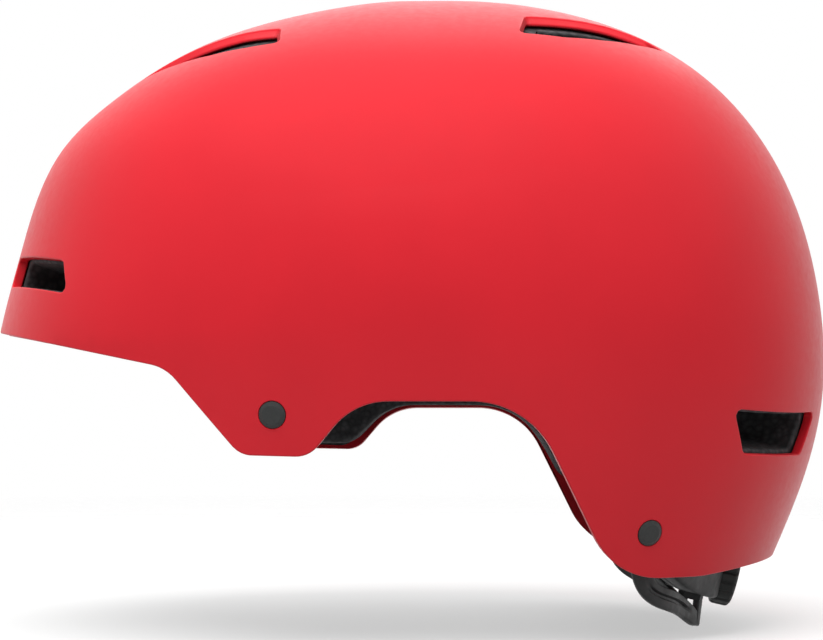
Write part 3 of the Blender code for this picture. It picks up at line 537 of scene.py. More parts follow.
def knit(name, colour):
    m, nodes, links, shader, where = material(name, colour, 0.92)
    waves = []
    for direction in ("X", "Y", "Z"):
        w = nodes.new("ShaderNodeTexWave")
        w.bands_direction = direction
        w.inputs["Scale"].default_value = 300.0
        w.inputs["Distortion"].default_value = 1.2
        w.inputs["Detail"].default_value = 2.0
        links.new(where.outputs["Object"], w.inputs["Vector"])
        waves.append(w.outputs["Fac"])
    total = combined(nodes, links, "ADD", combined(nodes, links, "ADD", waves[0], waves[1]), waves[2])
    weave = combined(nodes, links, "MULTIPLY", total, 1 / 3)
    dark, light = tuple(c * 0.6 for c in colour), tuple(c * 1.5 for c in colour)
    links.new(ramp(nodes, links, weave, [(0.2, dark), (0.8, light)]), shader.inputs["Base Color"])
    bump(nodes, links, shader, weave, 0.00025, 0.8)
    shader.inputs["Sheen Weight"].default_value = 0.35
    shader.inputs["Sheen Roughness"].default_value = 0.5
    return m


def steel():
    m, nodes, links, shader, where = material("zinc_steel", (0.55, 0.55, 0.56), 0.35)
    shader.inputs["Metallic"].default_value = 1.0
    fine = noise(nodes, links, where, 700.0, 4.0)
    links.new(ramp(nodes, links, fine, [(0.3, 0.28), (0.7, 0.45)]), shader.inputs["Roughness"])
    bump(nodes, links, shader, fine, 0.00002, 0.5)
    return m


RED, FOAM, STEEL = red_abs(), bead_foam(), steel()
NYLON = nylon("grained_nylon", (0.022, 0.0225, 0.023), 0.5, 900.0)
GREY = nylon("matt_grey", (0.030, 0.032, 0.0315), 0.5, 1200.0)
KNIT = knit("brushed_knit", (0.018, 0.018, 0.020))
BY_SLOT = {"red_abs": RED, "black_foam": FOAM, "pad_fabric": KNIT, "dark_nylon": NYLON,
           "grey_plastic": GREY, "steel": STEEL}
for entry in frame["record"]["subparts"]:
    node = frame["nodes"][entry["node"]]
    node.data.materials.clear()
    node.data.materials.append(BY_SLOT[entry["material_slot"]])

# Outer shell, with rounded edges at the rim, the vents and the rivet seats. The crown slots are cut upright,
# and the vent walls have a moulder's draft
VENTS = []
for side in SIDES.values():
    VENTS += [([above(x, y) for x, y in slot], side, True) for slot in (FRONT_SLOT, REAR_SLOT)]
    VENTS += [(vent, side, False) for vent in (BROW_VENT, NAPE_VENT)]
# Spacing of a skin's points, in radians about the centre
SPACING = 0.03
EDGE_OUT, EDGE_IN = 0.5, 0.4
SLOT_EDGE, SLOT_DRAFT, VENT_DRAFT, DRAFT_EASE, FOAM_LEDGE = 1.3, 1.0, 0.8, 0.4, 1.6
SEAT_RIM, SEAT_R, SEAT_DEPTH, STEM_R, STEM_RIM = 4.4, 4.1, 0.9, 2.25, 3.0
# Rivet seat from its rim to the hole for the stem: radius, depth and how far the face turns to the middle
SEAT_STEPS = ((SEAT_R + 0.2, 0.02, 0.4), (SEAT_R + 0.06, 0.1, 0.8), (SEAT_R, 0.25, 1.0),
              (SEAT_R, SEAT_DEPTH, 1.0), (SEAT_R - 0.05, SEAT_DEPTH, 0.0), (STEM_R + 0.05, SEAT_DEPTH, 0.0),
              (STEM_R, SEAT_DEPTH + 0.1, 1.0), (STEM_R, SHELL_WALL, 1.0))
skin0, skin1 = inset_surface(OUTSIDE, 0.0), inset_surface(OUTSIDE, SHELL_WALL)


# Outline on the outside carried through the wall to a deeper surface, narrowed by its draft
def sunk(loop, along, upright, surface, slot_draft, vent_draft):
    m = loop_frame(loop, skin0, True)[1]
    if upright:
        return cast(loop - m * slot_draft * smooth(m[:, 2:] / DRAFT_EASE), np.array([0.0, 0.0, 1.0]), surface)
    return cast(loop - m * vent_draft * smooth(1 - np.abs(m[:, 2:])), along, surface)


loop = rim_loop(skin0, SHELL_RIM)
n, m = loop_frame(loop, skin0, False)
shell_edges = [(loop, n, m, loop - n * SHELL_WALL, n, m)]
inner_edge = [EDGE_IN] + [SLOT_EDGE if upright else EDGE_IN for _points, _side, upright in VENTS]
for points, side, upright in VENTS:
    outline, along = vent_outline(points, side, 1.0)
    loop = cast(outline, along, skin0)
    inner = sunk(loop, along, upright, skin1, SLOT_DRAFT, VENT_DRAFT)
    shell_edges.append((loop, *loop_frame(loop, skin0, True), inner, *loop_frame(inner, skin1, True)))
seats = []
for side in SIDES.values():
    for spot in (FRONT_RIVET, REAR_RIVET):
        p, n = beside(*spot)
        mirror = np.array([1, side, 1])
        seats.append((p * mirror, n * mirror))
seat_out = [cast(circle_outline(p, n, SEAT_RIM), n, skin0) for p, n in seats]
seat_in = [cast(circle_outline(p, n, STEM_RIM), n, skin1) for p, n in seats]
outer_loops = [a + ma * EDGE_OUT for a, _na, ma, _b, _nb, _mb in shell_edges]
inner_loops = [b + mb * r for (_a, _na, _ma, b, _nb, mb), r in zip(shell_edges, inner_edge)]
front = Skin(skin0, outer_loops[0], outer_loops[1:] + seat_out, SPACING)
back = Skin(skin1, inner_loops[0], inner_loops[1:] + seat_in, SPACING * 1.3)
back.normals = -back.normals
joins = []
for (a, na, ma, b, nb, mb), r, ra, rb in zip(shell_edges, inner_edge, front.loops, back.loops):
    joins.append((ra, rb, *wall_rows(a, na, ma, b, -nb, mb, EDGE_OUT, r)))
count = len(shell_edges)
for (p, n), ra, rb in zip(seats, front.loops[count:], back.loops[count:]):
    out = unit(front.points[ra] - p - ((front.points[ra] - p) @ n)[:, None] * n)
    rows = [p + out * r - n * depth for r, depth, _turn in SEAT_STEPS]
    joins.append((ra, rb, rows, [unit(n * (1 - turn) - out * turn) for _r, _depth, turn in SEAT_STEPS]))
shell = make_object("helmet_shell", *sheet_body(front, back, joins), RED)
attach(shell, "helmet")
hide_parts("outer_shell")

# Foam liner, dented where the front washers and strap ends sit
DENT_REACH, DENT_FADE, DENT_DEPTH = 12.0, 2.6, 7.1
FOAM_OUT_R, FOAM_IN_R = 1.2, 3.2


def washer_dent(p):
    depth = np.zeros(p.shape[:-1])
    for side in SIDES.values():
        c, n = (v * (1, side, 1) for v in beside(*FRONT_RIVET))
        up = unit(np.array([0, 0, 1]) - n * n[2])
        q = p - c
        across = np.abs(q @ np.cross(up, n))
        share = smooth((DENT_REACH - across) / DENT_FADE) * smooth((DENT_REACH - q @ up) / DENT_FADE)
        depth = depth + np.where(p[..., 1] * side > 0, DENT_DEPTH * share, 0.0)
    return depth


foam_out = inset_surface(OUTSIDE, LINER_INSET, washer_dent)
foam_in = inset_surface(HEADSPACE, 0.0)
foam_loops = [(rim_loop(foam_out, LINER_RIM), rim_loop(foam_in, LINER_RIM))]
for points, side, upright in VENTS:
    outline, along = vent_outline(points, side, FOAM_VENT_SCALE)
    top = sunk(cast(outline, along, skin0), along, upright, foam_out, SLOT_DRAFT + FOAM_LEDGE, 0.0)
    foam_loops.append((top, cast(outline, along, foam_in)))
foam_edges = [(a, *loop_frame(a, foam_out, i > 0), b, *loop_frame(b, foam_in, i > 0))
              for i, (a, b) in enumerate(foam_loops)]
outer_loops = [a + ma * FOAM_OUT_R for a, _na, ma, _b, _nb, _mb in foam_edges]
inner_loops = [b + mb * FOAM_IN_R for _a, _na, _ma, b, _nb, mb in foam_edges]
foam_front = Skin(foam_out, outer_loops[0], outer_loops[1:], SPACING * 1.25)
foam_back = Skin(foam_in, inner_loops[0], inner_loops[1:], SPACING * 1.25)
foam_back.normals = -foam_back.normals
joins = [(ra, rb, *wall_rows(a, na, ma, b, -nb, mb, FOAM_OUT_R, FOAM_IN_R, 5, 4))
         for (a, na, ma, b, nb, mb), ra, rb in zip(foam_edges, foam_front.loops, foam_back.loops)]
liner = make_object("bead_foam_liner", *sheet_body(foam_front, foam_back, joins), FOAM)
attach(liner, "helmet")
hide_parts("foam_liner")

# Comfort pads: a welded hem and a crowned face, puffed as cloth over the foam inside.
# A pad's grid is its place along it (-1 to 1), its base, the way inwards, the most it may rise there,
# the distance to its hem and its half length
HEM_T, HEM_WIDE, HEM_RISE, PUFF_CAP, PUFF_LEAST = 1.2, 1.6, 4.2, 3.0, 0.6
PAD_STEP, NAPE_STEP, PUFF_FRAMES = 1.7, 1.3, 20
HEAD_R, PAD_END_WIDE, PAD_LEAST = 100.0, 0.45, 1.3
NAPE_END_HIGH, NAPE_END_T, NAPE_OFF = 0.35, 0.3, 0.5
CHANNEL_WIDE, CHANNEL_DEPTH, START_SHARE, BACK_RISE = 1.1, 0.55, 0.66, 0.1


# Pad on the head space, with angles turned into millimetres at a nominal radius
def head_pad(middle, length_dir, half_long, half_wide, thick):
    d0, e1 = unit(middle), np.array(length_dir, float)
    e1 = unit(e1 - d0 * (e1 @ d0))
    e2 = np.cross(d0, e1)
    a, b = np.meshgrid(np.linspace(-1, 1, int(2 * HEAD_R * half_long / PAD_STEP) + 1),
                       np.linspace(-1, 1, max(8, int(2 * HEAD_R * half_wide / PAD_STEP)) + 1),
                       indexing="ij")
    width = half_wide * (PAD_END_WIDE + (1 - PAD_END_WIDE) * np.clip(1 - np.abs(a) ** 5, 0, 1) ** 0.2)
    d = unit(d0 + e1 * np.tan(a * half_long)[..., None]
             + e2 * (b * width / np.cos(a * half_long))[..., None])
    puff = np.sqrt(np.clip((1 - np.abs(a) ** 8) * (1 - np.abs(b) ** 4), 0, 1))
    hem = np.minimum((1 - np.abs(a)) * half_long, (1 - np.abs(b)) * width) * HEAD_R
    base = CENTRE + d * (HEADSPACE(d) - PAD_GAP)[..., None]
    return a, base, -d, PAD_LEAST + (thick - PAD_LEAST - 0.1) * puff, hem, half_long * HEAD_R


# Pad on the inner face of the cradle plate
def nape_pad(side):
    a, b = np.meshgrid(np.linspace(-1, 1, int(2 * NAPE_HALF / NAPE_STEP) + 1),
                       np.linspace(-1, 1, int(2 * NAPE_HIGH / NAPE_STEP) + 1), indexing="ij")
    high = NAPE_HIGH * (NAPE_END_HIGH + (1 - NAPE_END_HIGH) * np.clip(1 - a ** 4, 0, 1) ** 0.25)
    t = NAPE_T * (NAPE_END_T + (1 - NAPE_END_T) * np.sqrt(np.clip(1 - a ** 6, 0, 1)))
    c = np.abs(b)
    crown = t * np.interp(c, (0, 0.55, 0.9, 1), (1, 0.9, 0.55, 0))
    limit = crown + np.interp(c, (0.55, 0.9, 1), (0, 0.5, 0.9))
    hem = np.minimum((1 - np.abs(a)) * NAPE_HALF, (1 - c) * high)
    base, out = wrap(side * (NAPE_AT + NAPE_HALF * a), PLATE_IN - NAPE_OFF, side * b * high)
    return a, base, -out, limit - 0.1, hem, NAPE_HALF


# Closed pad from its grid, then puffed, and kept below the most it may rise
def puffed(name, grid, thick, channels):
    a, base, inward, limit, hem, half_mm = grid
    rows, cols = a.shape
    n = rows * cols
    sewn = np.zeros_like(a)
    for at in channels:
        sewn = np.maximum(sewn, np.exp(-((a - at) * half_mm / CHANNEL_WIDE) ** 2))
    crown = smooth((hem - HEM_WIDE) / HEM_RISE) ** 0.7 * (1 - CHANNEL_DEPTH * sewn)
    start = np.minimum(HEM_T + (START_SHARE * thick - HEM_T) * crown, limit)
    held = np.maximum(hem < HEM_WIDE + 0.2, sewn > 0.6)
    face = (base + inward * start[..., None]).reshape(-1, 3)
    points = np.vstack([face, (base + inward * BACK_RISE).reshape(-1, 3)])
    at = np.arange(n).reshape(rows, cols)
    quads = np.stack([at[:-1, :-1], at[1:, :-1], at[1:, 1:], at[:-1, 1:]], -1).reshape(-1, 4)
    edge = np.r_[at[0, :-1], at[:-1, -1], at[-1, :0:-1], at[:0:-1, 0]]
    faces = [tuple(map(int, q[::-1])) for q in quads] + [tuple(int(v) + n for v in q) for q in quads]
    faces += [(int(u), int(v), int(v) + n, int(u) + n) for u, v in zip(edge, np.roll(edge, -1))]
    obj = make_object(name, points, faces, None, KNIT)
    shift = simulated(obj, np.r_[held.ravel(), np.ones(n, bool)])[:n] - face
    far = np.maximum(np.linalg.norm(shift, axis=1, keepdims=True), 1e-6)
    q = face + shift * np.minimum(1, PUFF_CAP / far)
    lift = ((q - base.reshape(-1, 3)) * inward.reshape(-1, 3)).sum(1)
    q += inward.reshape(-1, 3) * (np.clip(lift, PUFF_LEAST, limit.ravel()) - lift)[:, None]
    for vert, co in zip(obj.data.vertices, q):
        vert.co = co * MM
    soft = obj.modifiers.new("soft", "SUBSURF")
    soft.levels = soft.render_levels = 1
    return obj


# Cloth blown up from inside, held at its hem and its sewn channels
def simulated(obj, held):
    group = obj.vertex_groups.new(name="held")
    group.add([int(i) for i in np.where(held)[0]], 1.0, "REPLACE")
    cloth = obj.modifiers.new("puff", "CLOTH")
    c = cloth.settings
    c.quality, c.mass = 6, 0.15
    c.tension_stiffness = c.compression_stiffness = 12.0
    c.shear_stiffness, c.bending_stiffness = 6.0, 0.4
    c.use_pressure, c.uniform_pressure_force = True, 4.0
    c.effector_weights.gravity = 0.0
    c.vertex_group_mass = "held"
    cloth.collision_settings.use_collision = False
    for f in range(1, PUFF_FRAMES + 1):
        scene.frame_set(f)
    moved = obj.evaluated_get(bpy.context.evaluated_depsgraph_get()).to_mesh()
    q = np.array([v.co[:] for v in moved.vertices]) / MM
    obj.modifiers.remove(cloth)
    obj.vertex_groups.clear()
    scene.frame_set(1)
    return q


# Node, middle, length direction, half length in degrees, half width, thickness and sewn channels
PADS = [("brow_pad", (1, 0, 0.22), (0, 1, 0), 50, 0.085, 6.5, (-0.62, -0.24, 0.24, 0.62)),
        ("crown_pad", (0.05, 0, 1), (1, 0, 0), 26, 0.22, 8.0, (-0.34, 0.34)),
        ("left_side_pad", (-0.05, 1, 0.3), (1, 0, 0), 24, 0.13, 6.5, (0.0,)),
        ("right_side_pad", (-0.05, -1, 0.3), (1, 0, 0), 24, 0.13, 6.5, (0.0,)),
        ("rear_pad", (-1, 0, 0.1), (0, 1, 0), 26, 0.13, 6.5, (-0.34, 0.34))]
jobs = [(node, "helmet", head_pad(middle, along, math.radians(half), wide, thick), thick, channels)
        for node, middle, along, half, wide, thick, channels in PADS]
jobs += [(f"{word}_nape_pad", "cradle", nape_pad(side), NAPE_T, ()) for word, side in SIDES.items()]
for node, body, grid, thick, channels in jobs:
    pad = puffed("soft_" + node, grid, thick, channels)
    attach(pad, body)
    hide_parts(node)

# Cradle pieces are closed lofts of rounded rings, station by station
GROOVE_AT, GROOVE_HALF, GROOVE_DEPTH = 0.3, 0.9, 1.1
GROOVE_SHAPE = ((1, 0), (0.75, 0.45), (0.45, 1), (-0.45, 1), (-0.75, 0.45), (-1, 0))
GROOVE_SPAN, GROOVE_EASE = (0.2, 0.86), (0.12, 0.1)
END_TURNS, END_SHARPEN = (0.0, math.pi / 4, math.pi / 2.2), 0.8
FACING_X = -20.0
MOULDED_CRISP, KNOB_CRISP = 38, 32


# Outline of a bar: a rectangle with rounded corners and, where asked, a groove in its outer face
def strap_ring(wide, thick, outer, inner, groove=None, steps=4):
    pts = []
    for i, (cx, cy, r) in enumerate(((1, 1, outer), (-1, 1, outer), (-1, -1, inner), (1, -1, inner))):
        for k in range(steps + 1):
            a = math.pi / 2 * (i + k / steps)
            pts.append((cx * (wide / 2 - r) + r * math.cos(a), cy * (thick / 2 - r) + r * math.sin(a)))
        if i == 0 and groove is not None:
            pts += [(GROOVE_AT + GROOVE_HALF * u, thick / 2 - groove * d) for u, d in GROOVE_SHAPE]
    return np.array(pts)


# Closed body through rings of equal count
def loft(rings):
    n, m = len(rings[0]), len(rings)
    faces = [(i * n + k, i * n + (k + 1) % n, (i + 1) * n + (k + 1) % n, (i + 1) * n + k)
             for i in range(m - 1) for k in range(n)]
    return np.vstack(rings), faces + [tuple(range(n))[::-1], tuple(range((m - 1) * n, m * n))]


# Depth of the arm's groove at a share of its length
def groove_depth(f):
    start, end = GROOVE_SPAN
    return GROOVE_DEPTH * float(smooth((f - start) / GROOVE_EASE[0]) * smooth((end - f) / GROOVE_EASE[1]))


# Flat bar along a path of places and widths, facing away from an upright line, with eased ends.
# Over its first share, side_on, it turns from facing sideways
def bar(path, thick, edge, side_on=0.0, grooved=False):
    rings, count = [], len(path)
    path = np.array(path, float)
    for i, (*p, w) in enumerate(path):
        f = i / (count - 1)
        t = unit(path[min(i + 1, count - 1), :3] - path[max(i - 1, 0), :3])
        p = np.array(p)
        n = unit((p - (FACING_X, 0.0, p[2])) * (1, 1, 0))
        if f < side_on:
            n = unit(n * f + np.array([0.0, math.copysign(1.0, p[1]), 0.0]) * (side_on - f))
        across = unit(np.cross(n, t))
        n = np.cross(t, across)
        across = across if across[2] > 0 else -across
        groove = groove_depth(f) if grooved else None
        eases = [(0.0, 0.0)]
        if i in (0, count - 1):
            eases = [(edge * (1 - math.cos(a)), edge * math.sin(a)) for a in END_TURNS]
        for inset, along in eases[::-1] if i == 0 else eases:
            corner = edge - END_SHARPEN * inset
            ring = strap_ring(w - 2 * inset, thick - 2 * inset, corner, corner, groove)
            middle = p + t * (along if i else -along)
            rings.append(middle + ring[:, :1] * across + ring[:, 1:] * n)
    return loft(rings)


# Block wrapped round the band between two radii, with its lower and upper edges given along it
def wrapped_block(spots, r0, r1, low, high, outer, inner):
    rings = []
    for s in spots:
        a, b, top = low(s), high(s), r1(s)
        ring = strap_ring(b - a, top - r0, outer, inner)
        rings.append(wrap(np.full(len(ring), s), (r0 + top) / 2 + ring[:, 1], (a + b) / 2 + ring[:, 0])[0])
    return loft(rings)


# The housing is a lens: half its height along the band, and the lens between two radii
def pod_height(s):
    return POD_HALF_HEIGHT * math.sqrt(max(0.0, 1 - abs(s / POD_REACH) ** POD_FULLNESS))


def pod_lens(r0, r1, inset, outer, inner, belly=0.0, steps=72):
    spots = [-POD_REACH * POD_END * math.cos(math.pi * i / steps) for i in range(steps + 1)]
    spots = [s for s in spots if pod_height(s) - inset > LENS_LEAST + outer * 0.5]

    def top(s):
        return r1 + belly * float(smooth((BELLY_END - abs(s)) / (BELLY_END - DIAL_R)))
    return wrapped_block(spots, r0, top, lambda s: inset - pod_height(s) + POD_LIFT,
                         lambda s: pod_height(s) - inset + POD_LIFT, outer, inner)


# Even stations on a curve through knots of any dimension
def smooth_path(knots, steps):
    knots = np.array(knots, float)
    t = np.r_[0, np.cumsum(np.linalg.norm(np.diff(knots, axis=0), axis=1))]
    curves = [spline(t, knots[:, i]) for i in range(knots.shape[1])]
    return np.stack([c(np.linspace(0, t[-1], steps)) for c in curves], 1)


# Two directions square to an axis
def square_to(axis):
    e1 = unit(np.cross(axis, (1, 0, 0) if abs(axis[0]) < 0.9 else (0, 0, 1)))
    return e1, np.cross(axis, e1)


# Closed outline of radii and places along an axis, swept round it, with its radius shaped on the way
def swept(outline, origin, axis, across, count, shape=lambda r, t: r):
    points, n = [], len(outline)
    for t in np.linspace(0, 2 * math.pi, count, endpoint=False):
        ray = math.cos(t) * across[0] + math.sin(t) * across[1]
        points += [origin + axis * f + ray * shape(r, t) for r, f in outline]
    faces = [(i * n + k, i * n + (k + 1) % n, (i + 1) % count * n + (k + 1) % n, (i + 1) % count * n + k)
             for i in range(count) for k in range(n)]
    return points, faces


def rod(r, f0, f1, origin, axis, count):
    e1, e2 = square_to(axis)
    a = np.linspace(0, 2 * math.pi, count, endpoint=False)[:, None]
    ring = r * (np.cos(a) * e1 + np.sin(a) * e2)
    return loft([origin + axis * f + ring for f in (f0, f1)])


# Closed parts in one object, with crisp edges past an angle
def closed_object(name, parts, mat):
    points, faces = [], []
    for p, f in parts:
        base = len(points)
        points += list(p)
        faces += [tuple(int(v) + base for v in q) for q in f]
    obj = make_object(name, points, faces, None, mat)
    work = bmesh.new()
    work.from_mesh(obj.data)
    bmesh.ops.recalc_face_normals(work, faces=work.faces)
    work.to_mesh(obj.data)
    work.free()
    crisp(obj, MOULDED_CRISP)
    return obj


# A body with cutters taken away, as plain points and faces
def carved(part, cutters):
    body = closed_object("carve", [part], NYLON)
    tools = [closed_object("carve_tool", [c], NYLON) for c in cutters]
    for t in tools:
        m = body.modifiers.new("carve", "BOOLEAN")
        m.object, m.operation, m.solver = t, "DIFFERENCE", "EXACT"
    mesh = bpy.data.meshes.new_from_object(body.evaluated_get(bpy.context.evaluated_depsgraph_get()))
    points = np.array([v.co[:] for v in mesh.vertices]) / MM
    faces = [tuple(p.vertices) for p in mesh.polygons]
    for o in [body] + tools:
        bpy.data.objects.remove(o)
    return points, faces


# Cradle frame: the plate with its holes, and on each side an arm with its pivot eye, a strut and two ledges
SCREW_SUNK, CUT_PAST, HOLE_SIDES = 0.5 * PLATE_T + 0.2, 1.0, 32
ARM_IN_EYE, ARM_SIDE_ON, ARM_STEPS, STRUT_STEPS = 0.74 * LUG_R, 0.4, 60, 8
LEDGES, LEDGE_IN, LEDGE_DROP = ((PLATE_OUT - 0.25, 3.0), (COVER_OUT - 0.7, 0.9)), 0.3, 1.7
PLATE_EDGE, LEDGE_EDGE, EYE_EDGE, HOLE_EDGE = (0.6, 0.4), (0.5, 0.3), 0.5, 0.2
pod_edge = pod_height(STRUT_AT - STRUT_HALF) - POD_LIFT


def arm(lug, mirror):
    start = lug + ARM_START
    foot = wrap(STRUT_AT + FOOT_SHIFT, PLATE_MID + FOOT_OUT, -pod_edge - FOOT_SHARE * STRUT_DROP)[0]
    knots = [lug - (0, 0, ARM_IN_EYE), start] + [start + (foot - start) * np.array(b) for b in ARM_BENDS]
    path = smooth_path([(*k, w) for k, w in zip(knots, ARM_WIDTHS)], ARM_STEPS)
    path[:, :3] *= mirror
    return bar(path, ARM_T, ARM_EDGE, ARM_SIDE_ON, True)


def strut(mirror):
    tip = wrap(STRUT_AT + FOOT_SHIFT, PLATE_MID + TIP_OUT, -pod_edge - STRUT_DROP)[0] * mirror
    top = wrap(STRUT_AT, COVER_OUT - TOP_SUNK, -pod_edge - TOP_DROP)[0] * mirror
    path = np.linspace((*tip, STRUT_FOOT), (*top, 2 * STRUT_HALF), STRUT_STEPS)
    return bar(path, STRUT_T, ARM_EDGE)


def ledge(side, reach, rise):
    spots = [side * (STRUT_AT + STRUT_HALF * a) for a in np.linspace(-1, 1, 7)]
    return wrapped_block(spots, PLATE_IN + LEDGE_IN, lambda s: reach, lambda s: -pod_edge - LEDGE_DROP,
                         lambda s: POD_LIFT - pod_height(s) + rise, *LEDGE_EDGE)


def pivot_eye(lug):
    outline = rounded([(PIVOT_HOLE, -LUG_T / 2, HOLE_EDGE), (LUG_R, -LUG_T / 2, EYE_EDGE),
                       (LUG_R, LUG_T / 2, EYE_EDGE), (PIVOT_HOLE, LUG_T / 2, HOLE_EDGE)], 4)
    return swept(outline, lug, E_Y, square_to(E_Y), 64)


holes = [rod(STUB_R + TURN_GAP, PLATE_IN - BAND_R - CUT_PAST, PLATE_OUT - BAND_R + CUT_PAST,
             POD_CENTRE, -E_F, HOLE_SIDES)]
for side in SIDES.values():
    at, out = wrap(side * SCREW_AT, PLATE_IN, -side * SCREW_HIGH)
    holes += [rod(r + SCREW_GAP, -CUT_PAST, deep, at, out, HOLE_SIDES)
              for r, deep in ((SCREW_HEAD_R, SCREW_SUNK), (SCREW_R, PLATE_T + CUT_PAST))]
parts = [carved(pod_lens(PLATE_IN, PLATE_OUT, 0.0, *PLATE_EDGE), holes)]
for side in SIDES.values():
    mirror = np.array([1, side, 1])
    lug = np.array([LUG_X, LUG_Y, LUG_Z])
    parts += [arm(lug, mirror), strut(mirror)]
    parts += [ledge(side, reach, rise) for reach, rise in LEDGES]
    parts.append(pivot_eye(lug * mirror))
frame_piece = closed_object("moulded_cradle_frame", parts, NYLON)
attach(frame_piece, "cradle")
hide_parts("cradle_frame")

# Dial cover: rounded lens with a belly, a dish for the knob and a slot at each end
COVER_EDGE, HOLLOW_EDGE, SLOT_CORNER = (1.5, 0.2), (0.3, 0.2), (0.3, 0.3)
SLOT_GAP, SLOT_GAP_HIGH, SLOT_SPAN = 0.4, 0.6, (0.6, 1.1)
slots = []
for side in SIDES.values():
    spots = [side * POD_REACH * a for a in np.linspace(*SLOT_SPAN, 12)]
    slots.append(wrapped_block(spots, BAND_IN - SLOT_GAP, lambda s: BAND_OUT + SLOT_GAP,
                               lambda s: -BAND_HALF - SLOT_GAP_HIGH, lambda s: BAND_HALF + SLOT_GAP_HIGH,
                               *SLOT_CORNER))
face = COVER_OUT - BAND_R
hollow = pod_lens(COVER_IN - 2 * CUT_PAST, COVER_OUT - COVER_FACE, COVER_WALL, *HOLLOW_EDGE)
dish = rod(DIAL_R + DISH_GAP, face, face + COVER_BELLY + CUT_PAST, POD_CENTRE, -E_F, 120)
bore = rod(SHAFT_R + TURN_GAP, face - COVER_FACE - CUT_PAST, face + CUT_PAST, POD_CENTRE, -E_F, 48)
cover = carved(pod_lens(COVER_IN, COVER_OUT, 0.0, *COVER_EDGE, COVER_BELLY), [hollow, dish, bore] + slots)
cover = closed_object("moulded_dial_cover", [cover], NYLON)
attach(cover, "cradle")
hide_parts("dial_cover")

# Dial knob: a lipped grip with fine finger flutes and a well for its screw
GRIP_INSET, SKIRT_INSET, KNOB_HOLLOW = 1.1, 1.8, 3.7
WELL_R, WELL_DEPTH, KNOB_BORE = 3.6, 2.0, 1.7
FLUTE_DEPTH, FLUTE_FROM, FLUTE_EASE = 0.55, 0.6, 0.5


def knob_profile():
    skirt, seat, well = DIAL_R - SKIRT_INSET, DIAL_FAR - KNOB_HOLLOW, DIAL_FAR - WELL_DEPTH
    return rounded([(skirt, DIAL_NEAR, 0.2), (DIAL_R - 0.4, DIAL_NEAR, 0.5), (DIAL_R, DIAL_NEAR + 0.9, 0.6),
                    (DIAL_R, DIAL_FAR - 0.9, 1.0), (DIAL_R - GRIP_INSET, DIAL_FAR, 0.8),
                    (0.62 * DIAL_R, DIAL_FAR - 0.1, 1.5), (WELL_R + 0.8, DIAL_FAR - 0.55, 0.3),
                    (WELL_R + 0.1, DIAL_FAR - 0.6, 0.2), (WELL_R, well, 0), (KNOB_BORE, well, 0),
                    (KNOB_BORE, seat, 0), (skirt, seat, 0)], 4)


def fluted(r, t):
    outer = float(smooth((r - DIAL_R + FLUTE_FROM) / FLUTE_EASE))
    return r - FLUTE_DEPTH * max(0.0, math.cos(DIAL_FLUTES * t)) ** 2 * outer


turned = swept(knob_profile(), POD_CENTRE, -E_F, (E_H, E_Y), 360, fluted)
knob = make_object("fluted_dial_knob", *turned, None, GREY)
crisp(knob, KNOB_CRISP)
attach(knob, "dial")
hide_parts("dial_knob")

# Studio: a white floor that fades out to the sides, over distances in metres, and isn't seen from below
FLOOR_Z, FLOOR_R, FLOOR_SIDES = -73.8, 3000.0, 64
FADE_FROM, FADE_TO, FLOOR_CLEAR = 0.45, 1.3, 0.5


def studio_white():
    m, nodes, links, shader, where = material("studio_white", (0.86, 0.86, 0.86), 0.6)
    far = nodes.new("ShaderNodeVectorMath")
    far.operation = "LENGTH"
    links.new(where.outputs["Object"], far.inputs[0])
    fade = ranged(nodes, links, far.outputs["Value"], FADE_FROM, FADE_TO, FLOOR_CLEAR, 1.0)
    below = nodes.new("ShaderNodeNewGeometry").outputs["Backfacing"]
    mix = nodes.new("ShaderNodeMixShader")
    links.new(combined(nodes, links, "MAXIMUM", fade, below), mix.inputs["Fac"])
    links.new(shader.outputs["BSDF"], mix.inputs[1])
    links.new(nodes.new("ShaderNodeBsdfTransparent").outputs["BSDF"], mix.inputs[2])
    links.new(mix.outputs["Shader"], nodes["Material Output"].inputs["Surface"])
    return m


turn = np.linspace(0, 2 * math.pi, FLOOR_SIDES, endpoint=False)
ring = np.stack([FLOOR_R * np.cos(turn), FLOOR_R * np.sin(turn), np.full(FLOOR_SIDES, FLOOR_Z)], 1)
floor = make_object("studio_floor", ring, [tuple(range(FLOOR_SIDES))], None, studio_white())

# Surroundings: bright overhead and behind, dim in front, and plain white to the camera and in reflections
SKY_LOW, SKY_HIGH, SKY_FROM, SKY_TO = 0.02, 0.80, -0.3, 1.0
BACKDROP, BACK_FROM, BACK_TO = 0.22, 0.15, -1.0


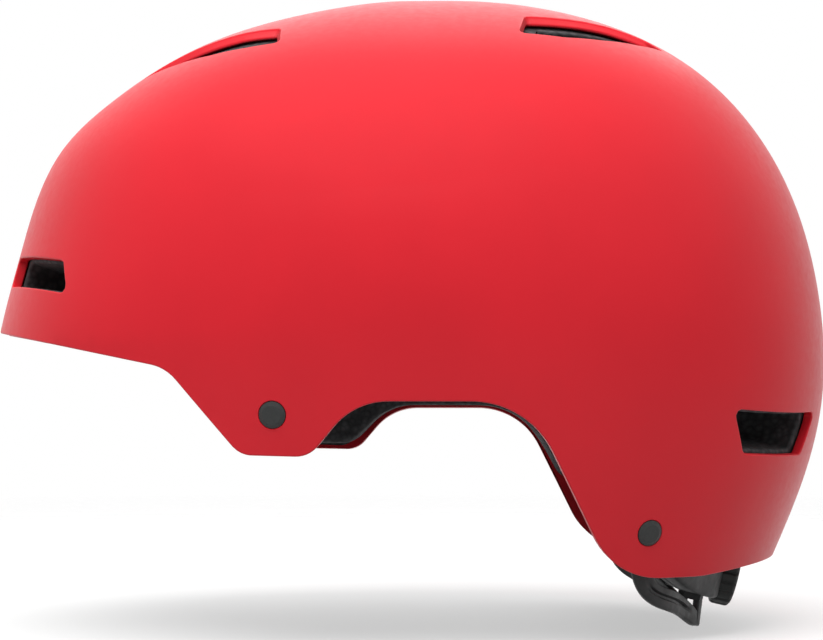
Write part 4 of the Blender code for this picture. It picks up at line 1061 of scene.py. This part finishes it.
def studio_world():
    made = bpy.data.worlds.new("studio")
    made.use_nodes = True
    nodes, links = made.node_tree.nodes, made.node_tree.links
    shader = nodes["Background"]
    shader.inputs["Color"].default_value = (1, 1, 1, 1)
    axes = nodes.new("ShaderNodeSeparateXYZ")
    links.new(nodes.new("ShaderNodeTexCoord").outputs["Generated"], axes.inputs[0])
    sky = ranged(nodes, links, axes.outputs["Z"], SKY_FROM, SKY_TO, SKY_LOW, SKY_HIGH, "SMOOTHSTEP")
    back = ranged(nodes, links, axes.outputs["Y"], BACK_FROM, BACK_TO, 0.0, BACKDROP, "SMOOTHSTEP")
    rays = nodes.new("ShaderNodeLightPath").outputs
    mirrored = combined(nodes, links, "MAXIMUM", rays["Is Glossy Ray"], rays["Is Transmission Ray"])
    level = nodes.new("ShaderNodeMix")
    level.inputs["B"].default_value = 1.0
    links.new(combined(nodes, links, "MAXIMUM", rays["Is Camera Ray"], mirrored), level.inputs["Factor"])
    links.new(combined(nodes, links, "ADD", sky, back), level.inputs["A"])
    links.new(level.outputs["Result"], shader.inputs["Strength"])
    return made


scene.world = studio_world()

# Lamps: name, place and aim in metres, width, watts and whether reflections show them
LAMPS = [("top_softbox", (0.15, 0.5, 1.1), (0, 0, 0.03), 1.2, 19.8, False),
         ("rear_softbox", (0.0, -0.85, 0.95), (0, 0, 0.05), 1.2, 2.7, True)]
for name, place, aim, wide, watts, mirrored in LAMPS:
    light = bpy.data.lights.new(name, "AREA")
    light.shape, light.size, light.energy = "DISK", wide, watts
    obj = bpy.data.objects.new(name, light)
    obj.location = place
    obj.rotation_euler = (Vector(aim) - Vector(place)).to_track_quat("-Z", "Y").to_euler()
    obj.visible_camera, obj.visible_glossy = False, mirrored
    scene.collection.objects.link(obj)

# Camera of the photograph: its size, focal length and middle in pixels, and its place in metres
PHOTO_WIDE, PHOTO_HIGH, FOCAL_PX, MIDDLE_PX = 823, 640, 2010.0, (499.0, 427.0)
SENSOR, CAMERA_AT = 36.0, (-0.0293, 0.690, -0.0073)
cam_data = bpy.data.cameras.new("photo_camera")
cam_data.sensor_width = SENSOR
cam_data.lens = SENSOR * FOCAL_PX / PHOTO_WIDE
cam_data.shift_x = (PHOTO_WIDE / 2 - MIDDLE_PX[0]) / PHOTO_WIDE
cam_data.shift_y = (MIDDLE_PX[1] - PHOTO_HIGH / 2) / PHOTO_WIDE
cam_data.clip_start, cam_data.clip_end = 0.02, 50.0
camera = bpy.data.objects.new("photo_camera", cam_data)
camera.location = CAMERA_AT
camera.rotation_euler = (math.radians(90), 0, math.radians(180))
scene.collection.objects.link(camera)
scene.camera = camera
scene.view_settings.view_transform = "Standard"
